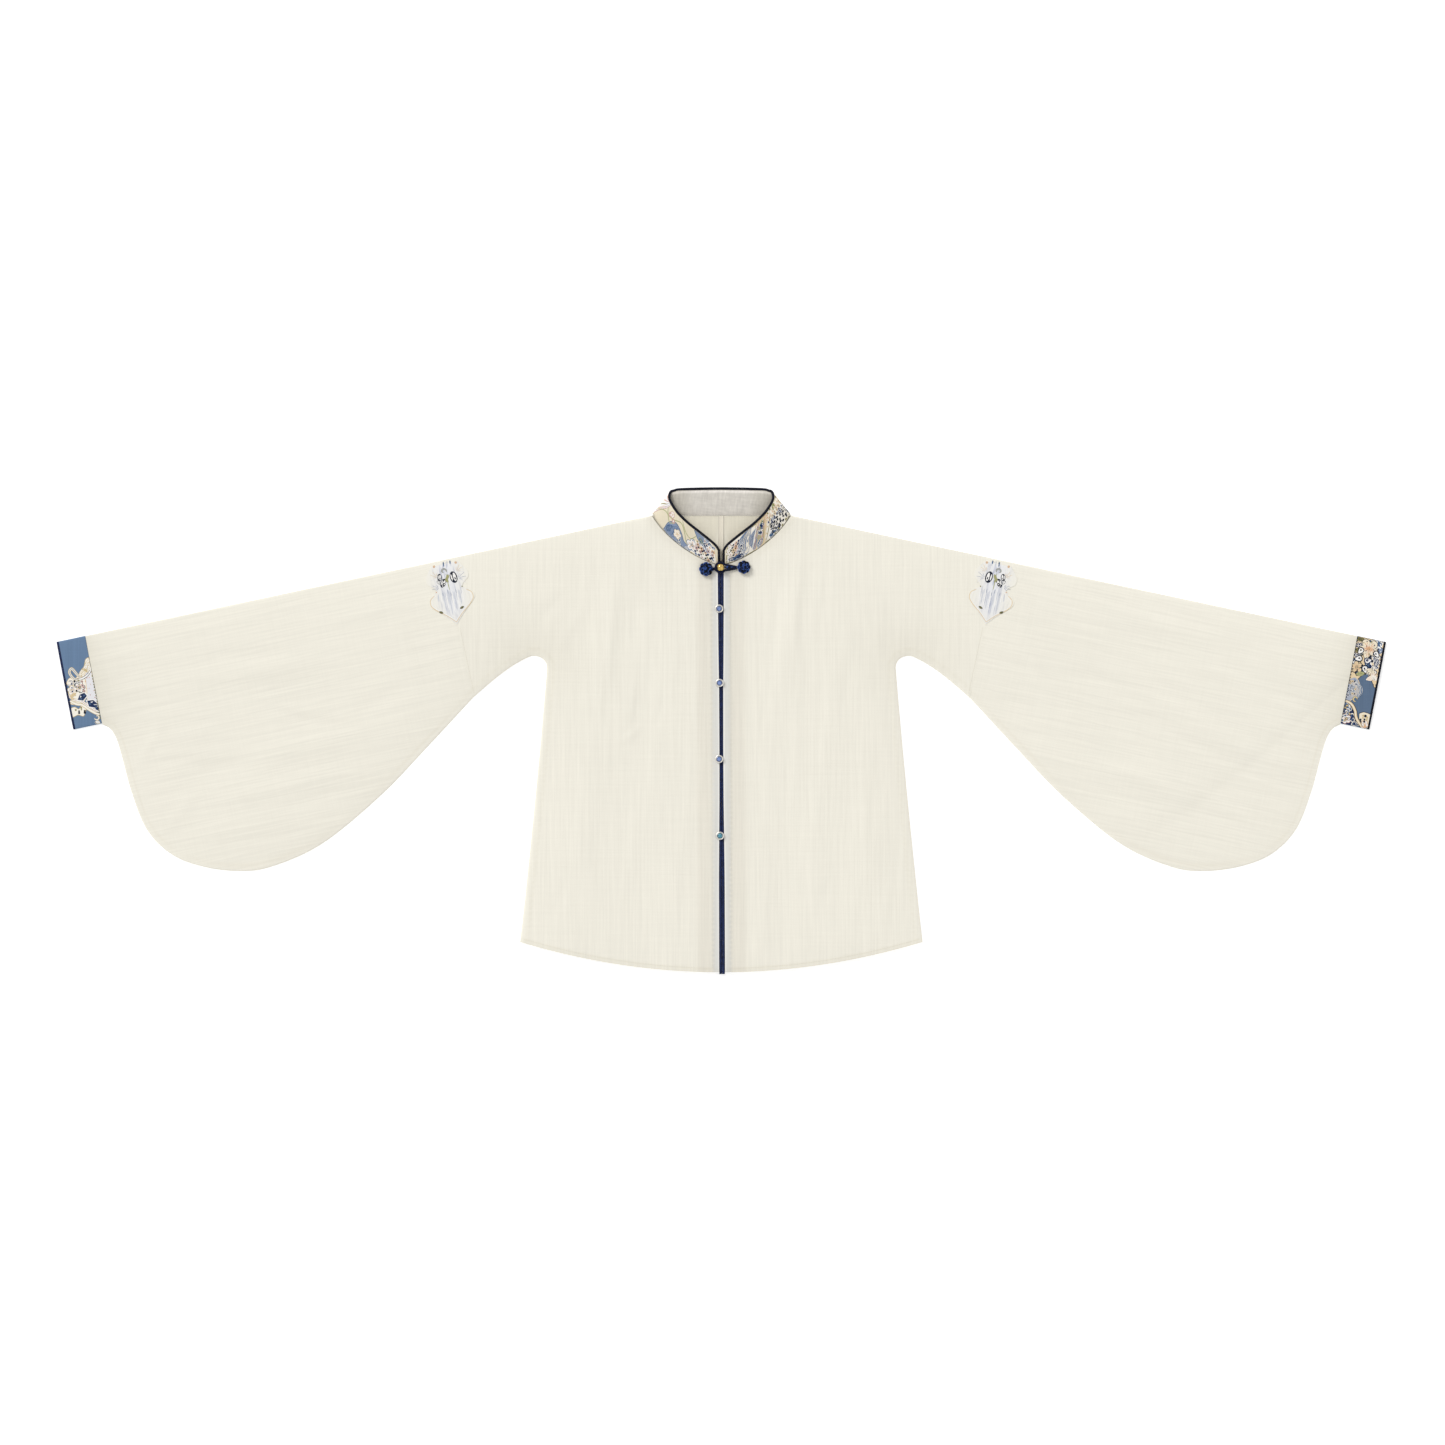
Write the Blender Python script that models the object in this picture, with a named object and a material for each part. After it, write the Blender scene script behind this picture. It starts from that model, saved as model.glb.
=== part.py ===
"""Stand-collar top with pipa sleeves, laid flat with its fastened front up.

The garment lies in the XY plane with its underside at z = 0. +Y points to the
collar and +X to the wearer's left, so the wearer's right sleeve is at -X.
Units are metres. Right and left are the wearer's.
"""

import math

import bmesh
import bpy
import numpy as np
from mathutils import Vector
from mathutils.geometry import delaunay_2d_cdt

# Overall size
LENGTH = 0.682
COLLAR_TOP_Y = LENGTH / 2
NECK_POINT_X = 0.0976
NECK_POINT_DROP = 0.0398
SHOULDER_SLOPE = math.radians(12.0)

# Body
HEM_HALF_WIDTH = 0.2820
HEM_CORNER_DROP = 0.6372
HEM_SAG = 0.0424
UNDERARM_X = 0.2660
UNDERARM_DROP = 0.2368
UNDERARM_RADIUS = 0.0170
SIDE_SEAM_TOP_X = 0.2443
FRONT_NECK_DROP = 0.1110
CENTRE_DRIFT = 0.0012

# How far each end of a curved seam pulls it, across and up
NECK_FRONT_PULL = (0.0350, 0.0085)
NECK_SIDE_PULL = (-0.0201, -0.0342)
SEAM_END_PULL = (-0.0300, 0.0270)
UNDERARM_PULL = (0.0260, -0.0100)
UNDERARM_TURN_PULL = (-0.0120, 0.0015)
SIDE_TOP_TURN_PULL = (0.0, 0.0119)
SIDE_TOP_PULL = (0.0090, -0.1130)
HEM_CORNER_PULL = (-0.0125, 0.1100)

# Sleeve, measured along the shoulder fold from the neck point and deep below it
BODY_SEAM_ALONG = 0.2980
BODY_SEAM_DEEP = 0.1980
CUFF_SEAM_ALONG = 0.8110
CUFF_DEEP = 0.1250
CUFF_LENGTH = 0.0410
CUFF_LEAN = 0.0025
CUFF_BINDING = 0.0027

# Cloth walls and gaps
PANEL_WALL = 0.0012
SLEEVE_WALL = 0.0011
COLLAR_WALL = 0.0010
TRIM_WALL = 0.0010
SEAM_GAP = 0.0003

# How the laid layers stand off each other
EDGE_HEIGHT = 2 * PANEL_WALL + SEAM_GAP
LOFT = 0.0031
LOFT_REACH = 0.030
HEM_LOFT_REACH = 0.012
HEM_FLATTENING = 0.4
FOLD_CALM_REACH = 0.050
NECK_LIFT = 0.0022
NECK_LIFT_REACH = 0.026

# Collar
BINDING_RADIUS = 0.00135
COLLAR_FOLD_X = 0.0950
COLLAR_FOLD_Y = 0.3018
COLLAR_FOLD_FACING = math.radians(41)
COLLAR_SEAM_INSET = 0.0008
SEAM_FOLD_RADIUS = 0.00195
COLLAR_STATIONS = 36
SEAM_READS = 60
SEAM_READS_BEFORE_FOLD = 56

# Front edge
FRONT_BINDING_HEIGHT = 0.0022
FRONT_BINDING_BELOW_HEM = 0.0024
FRONT_BINDING_BELOW_NECK = 0.0015
UNDERLAP_WIDTH = 0.0320
UNDERLAP_BELOW_BINDING = 0.0040
UNDERLAP_ABOVE_HEM = 0.0060

# Frog fastening and snaps
KNOT_HEIGHT = 0.0072
KNOT_LOBES = 5
KNOT_LOBE_DEPTH = 0.05
BEAD_RADIUS = 0.00515
CORD_RADIUS = 0.0011
STEM_RADIUS = 0.00088
LOOP_DROP = 0.0018
LOOP_HALF_TURN = math.radians(138)
LOOP_NECK = 0.0060
LOOP_FOOT_DROP = 0.0010
SNAP_RING_RADIUS = 0.0046
SNAP_RING_SECTION = 0.0012
SNAP_STONE_RADIUS = 0.0031
SNAP_STONE_HEIGHT = 0.0022

# Mesh spacing
FRONT_STEP = 0.025
BACK_STEP = 0.060
EDGE_STEP = 0.025
TUBE_EDGE_MARGIN = 0.0016
SHARP_ANGLE = math.radians(50)

# Columns: along and deep place of the lower edge, along place of the fold end
SLEEVE_SECTIONS = [
    (0.2983, 0.1980, 0.2983),
    (0.3740, 0.2515, 0.3740),
    (0.4520, 0.3045, 0.4520),
    (0.5460, 0.3535, 0.5350),
    (0.6220, 0.3705, 0.6000),
    (0.6690, 0.3670, 0.6400),
    (0.7180, 0.3500, 0.6750),
    (0.7570, 0.3240, 0.7050),
    (0.7830, 0.2840, 0.7300),
    (0.7930, 0.2300, 0.7520),
    (0.7960, 0.1780, 0.7700),
    (0.7985, 0.1500, 0.7850),
    (0.8040, 0.1345, 0.7980),
    (0.8132, 0.1265, 0.8107),
]

# Columns: x, y and height of the binding's outer line from front to centre back,
# and the place on the neck seam: to 1 along the front, to 2 round the fold at the
# neck point, to 3 along the back
COLLAR_EDGE = [
    (0.0022, 0.2535, 0.0100, 0.05),
    (0.0066, 0.2600, 0.0112, 0.10),
    (0.0150, 0.2675, 0.0128, 0.19),
    (0.0288, 0.2783, 0.0150, 0.38),
    (0.0455, 0.2914, 0.0162, 0.56),
    (0.0590, 0.3045, 0.0156, 0.72),
    (0.0668, 0.3155, 0.0134, 0.88),
    (0.0704, 0.3228, 0.0106, 1.10),
    (0.0716, 0.3287, 0.0074, 1.50),
    (0.0702, 0.3338, 0.0046, 1.88),
    (0.0662, 0.3375, 0.0025, 2.14),
    (0.0600, 0.3394, 0.0012, 2.29),
    (0.0400, 0.3402, 0.0006, 2.55),
    (0.0200, 0.3406, 0.0005, 2.78),
    (0.0000, 0.3408, 0.0005, 3.00),
]

# Columns: y, width of one front binding there; they lap each other at mid-length
FRONT_BINDING_WIDTHS = [
    (-0.3400, 0.0037),
    (-0.2100, 0.0036),
    (-0.1393, 0.0030),
    (-0.0973, 0.0025),
    (-0.0203, 0.0023),
    (0.0600, 0.0025),
    (0.0945, 0.0030),
    (0.1547, 0.0035),
    (0.2300, 0.0038),
]

# Columns: x, y of the fold's middle, its direction in degrees, half length,
# half width and height
SOFT_FOLDS = [
    (-0.158, 0.140, 84, 0.090, 0.016, 0.0012),
    (-0.108, 0.010, 88, 0.080, 0.015, -0.0010),
    (-0.190, -0.120, 80, 0.110, 0.020, 0.0011),
    (-0.070, -0.190, 90, 0.090, 0.018, 0.0008),
    (0.095, 0.130, 82, 0.110, 0.015, 0.0012),
    (0.150, 0.000, 84, 0.110, 0.017, 0.0010),
    (0.090, -0.170, 88, 0.100, 0.020, -0.0009),
    (0.205, -0.180, 82, 0.090, 0.018, 0.0009),
    (-0.640, 0.085, 7, 0.100, 0.014, 0.0012),
    (-0.580, -0.020, 10, 0.110, 0.018, 0.0012),
    (-0.600, -0.078, 8, 0.080, 0.015, 0.0010),
    (-0.720, -0.060, 24, 0.080, 0.017, -0.0010),
    (-0.680, -0.135, 10, 0.070, 0.015, 0.0010),
    (0.600, 0.150, -14, 0.110, 0.016, 0.0011),
    (0.640, 0.025, -29, 0.070, 0.016, 0.0012),
    (0.740, -0.030, -22, 0.080, 0.016, 0.0011),
    (0.590, -0.070, -19, 0.090, 0.017, 0.0011),
    (0.700, -0.130, -40, 0.060, 0.015, -0.0010),
]

# Columns: centre x and y of each snap cap
SNAPS = [
    (-0.0030, 0.1705),
    (-0.0024, 0.0666),
    (-0.0030, -0.0399),
    (-0.0018, -0.1473),
]

# Columns: centre x and y, radius
KNOTS = {
    "right": (-0.0217, 0.2258, 0.0104),
    "left": (0.0311, 0.2285, 0.0098),
}
BEAD_PLACE = (-0.0010, 0.2280)

# Columns: across and deep place on the sleeve seam, half of the patch's outline:
# a shield below and a tufted spray above it
PATCH_OUTLINE = [
    (0.0000, 0.0925),
    (0.0095, 0.0820),
    (0.0205, 0.0715),
    (0.0300, 0.0630),
    (0.0328, 0.0560),
    (0.0285, 0.0485),
    (0.0190, 0.0425),
    (0.0215, 0.0365),
    (0.0290, 0.0305),
    (0.0300, 0.0215),
    (0.0240, 0.0125),
    (0.0185, 0.0060),
]

SIDES = {"right": -1, "left": 1}

CREAM = (0.855, 0.820, 0.730)
NAVY = (0.035, 0.050, 0.095)
PRINT_BLUE = (0.150, 0.230, 0.330)
LINING = (0.600, 0.570, 0.510)
GAUZE = (0.560, 0.550, 0.580)


def clear_scene():
    """Remove the objects that a new Blender file starts with."""
    for existing in list(bpy.data.objects):
        bpy.data.objects.remove(existing, do_unlink=True)


def material(name, colour, roughness, metallic=0.0):
    """Return a Principled material, made once and shared by name."""
    found = bpy.data.materials.get(name)
    if found:
        return found
    made = bpy.data.materials.new(name)
    made.use_nodes = True
    shader = made.node_tree.nodes["Principled BSDF"]
    shader.inputs["Base Color"].default_value = (*colour, 1.0)
    shader.inputs["Roughness"].default_value = roughness
    shader.inputs["Metallic"].default_value = metallic
    return made


def add_mesh(name, points, faces, finish):
    """Add one closed mesh with its faces pointing out."""
    mesh = bpy.data.meshes.new(name)
    mesh.from_pydata([tuple(point) for point in points], [], faces)
    mesh.materials.append(finish)
    shape = bmesh.new()
    shape.from_mesh(mesh)
    bmesh.ops.recalc_face_normals(shape, faces=shape.faces)
    shape.to_mesh(mesh)
    shape.free()
    mesh.shade_smooth()
    mesh.set_sharp_from_angle(angle=SHARP_ANGLE)
    solid = bpy.data.objects.new(name, mesh)
    bpy.context.collection.objects.link(solid)
    return solid


def bezier(start, pull_start, pull_end, end, count):
    """Points on a cubic curve, both ends included."""
    t = np.linspace(0.0, 1.0, count)[:, None]
    corners = [np.array(corner, float) for corner in (start, pull_start, pull_end, end)]
    return (
        (1 - t) ** 3 * corners[0]
        + 3 * (1 - t) ** 2 * t * corners[1]
        + 3 * (1 - t) * t**2 * corners[2]
        + t**3 * corners[3]
    )


def through(rows, steps):
    """A smooth curve through the rows, read at some steps in each row's stretch."""
    rows = np.array(rows, float)
    padded = np.vstack([2 * rows[0] - rows[1], rows, 2 * rows[-1] - rows[-2]])
    read = []
    for index in range(len(rows) - 1):
        before, here, there, after = padded[index : index + 4]
        for t in np.linspace(0.0, 1.0, steps, endpoint=False):
            read.append(
                0.5
                * (
                    2 * here
                    + (there - before) * t
                    + (2 * before - 5 * here + 4 * there - after) * t**2
                    + (3 * here - before - 3 * there + after) * t**3
                )
            )
    read.append(rows[-1])
    return np.array(read)


def even_steps(rows, count):
    """The smooth curve through the rows, read at evenly spaced places."""
    line = through(rows, 12)
    runs = np.linalg.norm(np.diff(line[:, :2], axis=0), axis=1)
    total = np.concatenate([[0.0], np.cumsum(runs)])
    wanted = np.linspace(0.0, total[-1], count)
    return np.column_stack([np.interp(wanted, total, column) for column in line.T])


def moved_sideways(line, distance):
    """A plan line moved to its left by a distance, in the line's own direction."""
    ahead = np.gradient(line[:, :2], axis=0)
    ahead /= np.linalg.norm(ahead, axis=1)[:, None]
    moved = line.copy()
    moved[:, 0] -= ahead[:, 1] * distance
    moved[:, 1] += ahead[:, 0] * distance
    return moved


def on_sleeve(along, deep):
    """Plan point on the wearer's left sleeve, from its fold and depth."""
    lean_cos = math.cos(SHOULDER_SLOPE)
    lean_sin = math.sin(SHOULDER_SLOPE)
    x = NECK_POINT_X + along * lean_cos - deep * lean_sin
    y = COLLAR_TOP_Y - NECK_POINT_DROP - along * lean_sin - deep * lean_cos
    return (x, y)


def front_neck(count):
    """The front neck seam from the centre to the neck point."""
    start = np.array((0.0, COLLAR_TOP_Y - FRONT_NECK_DROP))
    end = np.array((NECK_POINT_X, COLLAR_TOP_Y - NECK_POINT_DROP))
    return bezier(start, start + NECK_FRONT_PULL, end + NECK_SIDE_PULL, end, count)


def underarm_line():
    """The lower edge from the body seam round the underarm to the hem corner."""
    seam_end = np.array(on_sleeve(BODY_SEAM_ALONG, BODY_SEAM_DEEP))
    underarm = np.array((UNDERARM_X, COLLAR_TOP_Y - UNDERARM_DROP))
    side_top = np.array((SIDE_SEAM_TOP_X, underarm[1] - UNDERARM_RADIUS))
    corner = np.array((HEM_HALF_WIDTH, COLLAR_TOP_Y - HEM_CORNER_DROP))
    run = bezier(seam_end, seam_end + SEAM_END_PULL, underarm + UNDERARM_PULL, underarm, 6)
    turn_start = underarm + UNDERARM_TURN_PULL
    turn = bezier(underarm, turn_start, side_top + SIDE_TOP_TURN_PULL, side_top, 5)
    side = bezier(side_top, side_top + SIDE_TOP_PULL, corner + HEM_CORNER_PULL, corner, 16)
    return np.vstack([run[:-1], turn[:-1], side])


def sleeve_edge(count):
    """The pipa sleeve's lower edge as plan points, from body seam to cuff."""
    places = even_steps(SLEEVE_SECTIONS, count)
    return np.array([on_sleeve(along, deep) for along, deep, fold in places])


def hem_y(x):
    """Height on the plan of the rounded hem at a place across."""
    centre_y = COLLAR_TOP_Y - HEM_CORNER_DROP - HEM_SAG
    return centre_y + HEM_SAG * (x / HEM_HALF_WIDTH) ** 2


def centre_x(y):
    """Where the two fronts meet: the opening leans slightly across the body."""
    return -CENTRE_DRIFT * y / COLLAR_TOP_Y


def binding_width(y):
    """Width of one front binding at places down the opening."""
    places, widths = zip(*FRONT_BINDING_WIDTHS)
    return np.interp(y, places, widths)


def distance_to_line(points, line):
    """Shortest distance of each plan point from a line of points."""
    nearest = np.full(len(points), np.inf)
    for start, end in zip(line[:-1], line[1:]):
        run = end - start
        share = np.clip(((points - start) @ run) / (run @ run), 0.0, 1.0)
        foot = start + share[:, None] * run
        nearest = np.minimum(nearest, np.linalg.norm(points - foot, axis=1))
    return nearest


def closed_edges():
    """The edges where the upper and under cloth meet, for the wearer's left."""
    cuff_end = CUFF_SEAM_ALONG + CUFF_LENGTH
    fold = np.array([on_sleeve(0.0, 0.0), on_sleeve(cuff_end, 0.0)])
    lower = np.vstack(
        [
            [on_sleeve(cuff_end + CUFF_LEAN, CUFF_DEEP)],
            sleeve_edge(40)[::-1],
            underarm_line(),
        ]
    )
    return fold, lower


def upper_height(places):
    """Height of the upper cloth's outer face at plan points."""
    places = np.atleast_2d(np.array(places, float))
    half = np.column_stack([np.abs(places[:, 0]), places[:, 1]])
    fold, lower = closed_edges()
    inside = np.minimum(distance_to_line(half, fold), distance_to_line(half, lower))
    height = EDGE_HEIGHT + LOFT * (1.0 - np.exp(-inside / LOFT_REACH))
    above_hem = np.maximum(places[:, 1] - hem_y(half[:, 0]), 0.0)
    flattening = HEM_FLATTENING * np.exp(-above_hem / HEM_LOFT_REACH)
    height -= (height - EDGE_HEIGHT) * flattening
    neck_point = np.array(on_sleeve(0.0, 0.0))
    from_neck = np.linalg.norm(half - neck_point, axis=1)
    height += NECK_LIFT * np.exp(-((from_neck / NECK_LIFT_REACH) ** 2))
    calm = np.clip(inside / FOLD_CALM_REACH, 0.0, 1.0)
    for x, y, direction, half_length, half_width, rise in SOFT_FOLDS:
        angle = math.radians(direction)
        apart = places - np.array((x, y))
        along = apart @ np.array((math.cos(angle), math.sin(angle)))
        across = apart @ np.array((-math.sin(angle), math.cos(angle)))
        shape = np.exp(-((along / half_length) ** 2) - (across / half_width) ** 2)
        height += rise * shape * calm
    return height


def mirrored(points, side):
    """Plan or space points put on the wanted side of the body."""
    placed = np.array(points, float)
    placed[:, 0] *= side
    return placed


def filled_outline(outline, step):
    """Triangles that fill a plan outline, with even points inside it."""
    ring = []
    for start, end in zip(outline, np.roll(outline, -1, axis=0)):
        pieces = max(1, int(np.ceil(np.linalg.norm(end - start) / EDGE_STEP)))
        for piece in range(pieces):
            ring.append(start + (end - start) * piece / pieces)
    ring = np.array(ring)
    low = ring.min(axis=0)
    high = ring.max(axis=0)
    inner = []
    row_step = step * math.sqrt(3) / 2
    for row in range(int((high[1] - low[1]) / row_step) + 1):
        shift = 0.5 * step * (row % 2)
        for column in range(int((high[0] - low[0]) / step) + 2):
            inner.append((low[0] + shift + column * step, low[1] + (row + 0.5) * row_step))
    inner = np.array(inner)
    closed = np.vstack([ring, ring[:1]])
    keep = distance_to_line(inner, closed) > 0.45 * step
    inner = np.array([point for point, kept in zip(inner, keep) if kept and is_inside(point, ring)])
    points = [Vector(point) for point in np.vstack([ring, inner])]
    loop = list(range(len(ring)))
    found = delaunay_2d_cdt(points, [], [loop], 1, 1e-7)
    return np.array([tuple(point) for point in found[0]]), [list(face) for face in found[2]]


def is_inside(point, ring):
    """Whether a plan point lies within a closed ring."""
    x, y = point
    inside = False
    for (ax, ay), (bx, by) in zip(ring, np.roll(ring, -1, axis=0)):
        if (ay > y) != (by > y) and x < ax + (y - ay) / (by - ay) * (bx - ax):
            inside = not inside
    return inside


def add_panel(name, outline, step, under, over, finish):
    """A closed sheet that fills a plan outline between two height functions."""
    plan, faces = filled_outline(np.array(outline, float), step)
    count = len(plan)
    points = np.vstack(
        [np.column_stack([plan, under(plan)]), np.column_stack([plan, over(plan)])]
    )
    edges = [edge for face in faces for edge in zip(face, face[1:] + face[:1])]
    known = set(edges)
    rim = [edge for edge in edges if edge[::-1] not in known]
    solid_faces = [face[::-1] for face in faces]
    solid_faces += [[corner + count for corner in face] for face in faces]
    solid_faces += [[start, end, end + count, start + count] for start, end in rim]
    return add_mesh(name, points, solid_faces, finish)


def add_tube(name, sections, side, wall, across, finish):
    """A flattened open tube, from sections that run from fold to lower edge."""
    outer_rings = []
    inner_rings = []
    for edge_along, edge_deep, fold_along in sections:
        fold = np.array(on_sleeve(fold_along, 0.0))
        edge = np.array(on_sleeve(edge_along, edge_deep))
        run = edge - fold
        length = np.linalg.norm(run)
        outer_rings.append(flat_ring(fold, run, length, 0.0, across, side))
        inner_rings.append(flat_ring(fold, run, length, wall, across, side))
    size = len(outer_rings[0])
    rings = len(sections)
    points = np.vstack(outer_rings + inner_rings)
    faces = []
    for layer in (0, rings):
        for ring in range(rings - 1):
            for place in range(size):
                after = (place + 1) % size
                here = (layer + ring) * size
                faces.append([here + place, here + after, here + size + after, here + size + place])
    for ring in (0, rings - 1):
        for place in range(size):
            after = (place + 1) % size
            outer = ring * size
            inner = (rings + ring) * size
            faces.append([outer + place, outer + after, inner + after, inner + place])
    return add_mesh(name, points, faces, finish)


def flat_ring(fold, run, length, inset, across, side):
    """One ring of a flattened tube: under face, lower edge, upper face, fold."""
    margin = (TUBE_EDGE_MARGIN + inset) / length
    shares = np.linspace(margin, 1.0 - margin, across)
    plan = mirrored(fold + shares[:, None] * run, side)
    under = np.column_stack([plan, np.full(across, inset)])
    upper = np.column_stack([plan, upper_height(plan) - inset])[::-1]
    ends = mirrored([fold + run * (1.0 - inset / length), fold + run * inset / length], side)
    lower_edge = (*ends[0], EDGE_HEIGHT / 2)
    fold_edge = (*ends[1], EDGE_HEIGHT / 2)
    return np.vstack([under, [lower_edge], upper, [fold_edge]])


def add_cord(name, path, radii, sides, finish, closed=False):
    """A tube of oval section along a path: radii are across, one or a row, and upright."""
    path = np.array(path, float)
    count = len(path)
    across_radii = np.broadcast_to(radii[0], count)
    if closed:
        ahead = np.roll(path, -1, axis=0) - np.roll(path, 1, axis=0)
    else:
        ahead = np.gradient(path, axis=0)
    rings = []
    for place, direction, across in zip(path, ahead, across_radii):
        direction = direction / np.linalg.norm(direction)
        sideways = np.cross((0.0, 0.0, 1.0), direction)
        if np.linalg.norm(sideways) < 1e-6:
            sideways = np.array((1.0, 0.0, 0.0))
        sideways /= np.linalg.norm(sideways)
        upright = np.cross(direction, sideways)
        for step in range(sides):
            angle = 2 * math.pi * (step + 0.5) / sides
            offset = across * math.cos(angle) * sideways + radii[1] * math.sin(angle) * upright
            rings.append(place + offset)
    faces = []
    last = count if closed else count - 1
    for ring in range(last):
        for step in range(sides):
            after = (step + 1) % sides
            here = ring * sides
            there = ((ring + 1) % count) * sides
            faces.append([here + step, here + after, there + after, there + step])
    if not closed:
        faces.append(list(range(sides)))
        faces.append([(count - 1) * sides + step for step in range(sides)])
    return add_mesh(name, rings, faces, finish)


def add_turned(name, centre, profile, sides, finish, lobes=0, lobe_depth=0.0):
    """A round piece: profile rows are radius and height, from foot to crown."""
    points = [(centre[0], centre[1], centre[2] + profile[0][1])]
    for radius, height in profile[1:-1]:
        for step in range(sides):
            angle = 2 * math.pi * step / sides
            reach = radius * (1.0 + lobe_depth * math.cos(lobes * angle))
            points.append(
                (
                    centre[0] + reach * math.cos(angle),
                    centre[1] + reach * math.sin(angle),
                    centre[2] + height,
                )
            )
    points.append((centre[0], centre[1], centre[2] + profile[-1][1]))
    rings = len(profile) - 2
    faces = []
    for step in range(sides):
        after = (step + 1) % sides
        faces.append([0, 1 + after, 1 + step])
        for ring in range(rings - 1):
            here = 1 + ring * sides
            faces.append([here + step, here + after, here + sides + after, here + sides + step])
        top = 1 + (rings - 1) * sides
        faces.append([top + step, top + after, len(points) - 1])
    return add_mesh(name, points, faces, finish)


def front_outline(side):
    """Plan outline of one front panel with the cut-on upper sleeve."""
    neck = front_neck(9)
    below_neck = neck[0][1]
    seam = [on_sleeve(BODY_SEAM_ALONG, BODY_SEAM_DEEP * step / 8) for step in range(8)]
    shoulder = [on_sleeve(BODY_SEAM_ALONG * step / 11, 0.0) for step in range(1, 11)]
    hem = [(x, hem_y(x)) for x in np.linspace(HEM_HALF_WIDTH, 0.006, 12)[1:-1]]
    half = np.vstack([neck[1:], shoulder, seam, underarm_line(), hem])
    placed = mirrored(half, side)
    centre = []
    for y in np.linspace(hem_y(0.006), below_neck + 0.0012, 20):
        inset = 1.5 * SEAM_GAP + binding_width(y)
        centre.append((centre_x(y) + side * inset, y))
    return np.vstack([placed, centre])


def back_outline(side):
    """Plan outline of one back panel, whose neck edge is nearly straight."""
    neck_y = COLLAR_TOP_Y - NECK_POINT_DROP
    neck = [(x, neck_y) for x in np.linspace(SEAM_GAP / 2, NECK_POINT_X, 4)]
    seam = [on_sleeve(BODY_SEAM_ALONG, BODY_SEAM_DEEP * step / 5) for step in range(5)]
    hem = [(x, hem_y(x)) for x in np.linspace(HEM_HALF_WIDTH, SEAM_GAP / 2, 12)[1:]]
    half = np.vstack([neck, seam, underarm_line(), hem])
    return mirrored(half, side)


def add_fronts(cloth):
    """Both front panels, lofted over the back."""
    for label, side in SIDES.items():
        add_panel(
            f"front_{label}",
            front_outline(side),
            FRONT_STEP,
            lambda plan: upper_height(plan) - PANEL_WALL,
            upper_height,
            cloth,
        )


def add_backs(cloth):
    """Both back panels, flat on the surface."""
    for label, side in SIDES.items():
        add_panel(
            f"back_{label}",
            back_outline(side),
            BACK_STEP,
            lambda plan: np.zeros(len(plan)),
            lambda plan: np.full(len(plan), PANEL_WALL),
            cloth,
        )


def add_sleeves(cloth, print_cloth, binding):
    """Pipa sleeves, printed cuffs and the bindings on their ends."""
    sections = through(SLEEVE_SECTIONS, 2)
    cuff_start = CUFF_SEAM_ALONG
    cuff_end = cuff_start + CUFF_LENGTH
    binding_start = cuff_end - CUFF_BINDING

    def cuff_sections(start, end, count):
        places = np.linspace(start, end, count)
        return [(place + CUFF_LEAN, CUFF_DEEP, place) for place in places]

    for label, side in SIDES.items():
        add_tube(f"sleeve_{label}", sections, side, SLEEVE_WALL, 12, cloth)
        cuff = cuff_sections(cuff_start, binding_start - SEAM_GAP, 3)
        add_tube(f"cuff_{label}", cuff, side, SLEEVE_WALL, 8, print_cloth)
        edge = cuff_sections(binding_start, cuff_end, 2)
        add_tube(f"cuff_binding_{label}", edge, side, SLEEVE_WALL, 8, binding)


def collar_seam(shares):
    """Points on the neck seam, for places as in the last column of COLLAR_EDGE."""
    front = moved_sideways(front_neck(SEAM_READS), COLLAR_SEAM_INSET)
    front = np.vstack([front[:SEAM_READS_BEFORE_FOLD], [(COLLAR_FOLD_X, COLLAR_FOLD_Y)]])
    reads = np.linspace(0.0, 1.0, len(front))
    back_y = COLLAR_TOP_Y - NECK_POINT_DROP + 1.5 * SEAM_GAP
    points = []
    for share in shares:
        if share < 1.0:
            x = np.interp(share, reads, front[:, 0])
            y = np.interp(share, reads, front[:, 1])
            z = upper_height([(x, y)])[0] - COLLAR_WALL / 2
        elif share < 2.0:
            angle = math.pi * (1.5 - share)
            reach = SEAM_FOLD_RADIUS * math.cos(angle)
            x = COLLAR_FOLD_X + reach * math.cos(COLLAR_FOLD_FACING)
            y = COLLAR_FOLD_Y + reach * math.sin(COLLAR_FOLD_FACING)
            z = COLLAR_WALL / 2 + SEAM_FOLD_RADIUS * (1.0 + math.sin(angle))
        else:
            x = COLLAR_FOLD_X * (3.0 - share)
            y = back_y
            z = COLLAR_WALL / 2
        points.append((x, y, z))
    return np.array(points)


def collar_stations():
    """Seam and top points of the outer collar, from one front edge to the other."""
    edge = even_steps(COLLAR_EDGE, COLLAR_STATIONS)
    seams = collar_seam(edge[:, 3])
    tops = edge[:, :3]
    ahead = np.gradient(tops, axis=0)
    ahead /= np.linalg.norm(ahead, axis=1)[:, None]
    upward = tops - seams
    upward -= np.sum(upward * ahead, axis=1)[:, None] * ahead
    upward /= np.linalg.norm(upward, axis=1)[:, None]
    tops = tops - upward * (2 * BINDING_RADIUS + 2 * SEAM_GAP)
    tops[:, 2] = np.maximum(tops[:, 2], COLLAR_WALL / 2)
    tops[-1, 0] = 0.0
    half = np.stack([seams, tops], axis=1)
    other = half[:-1][::-1].copy()
    other[:, :, 0] *= -1
    return np.concatenate([half, other])


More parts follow.
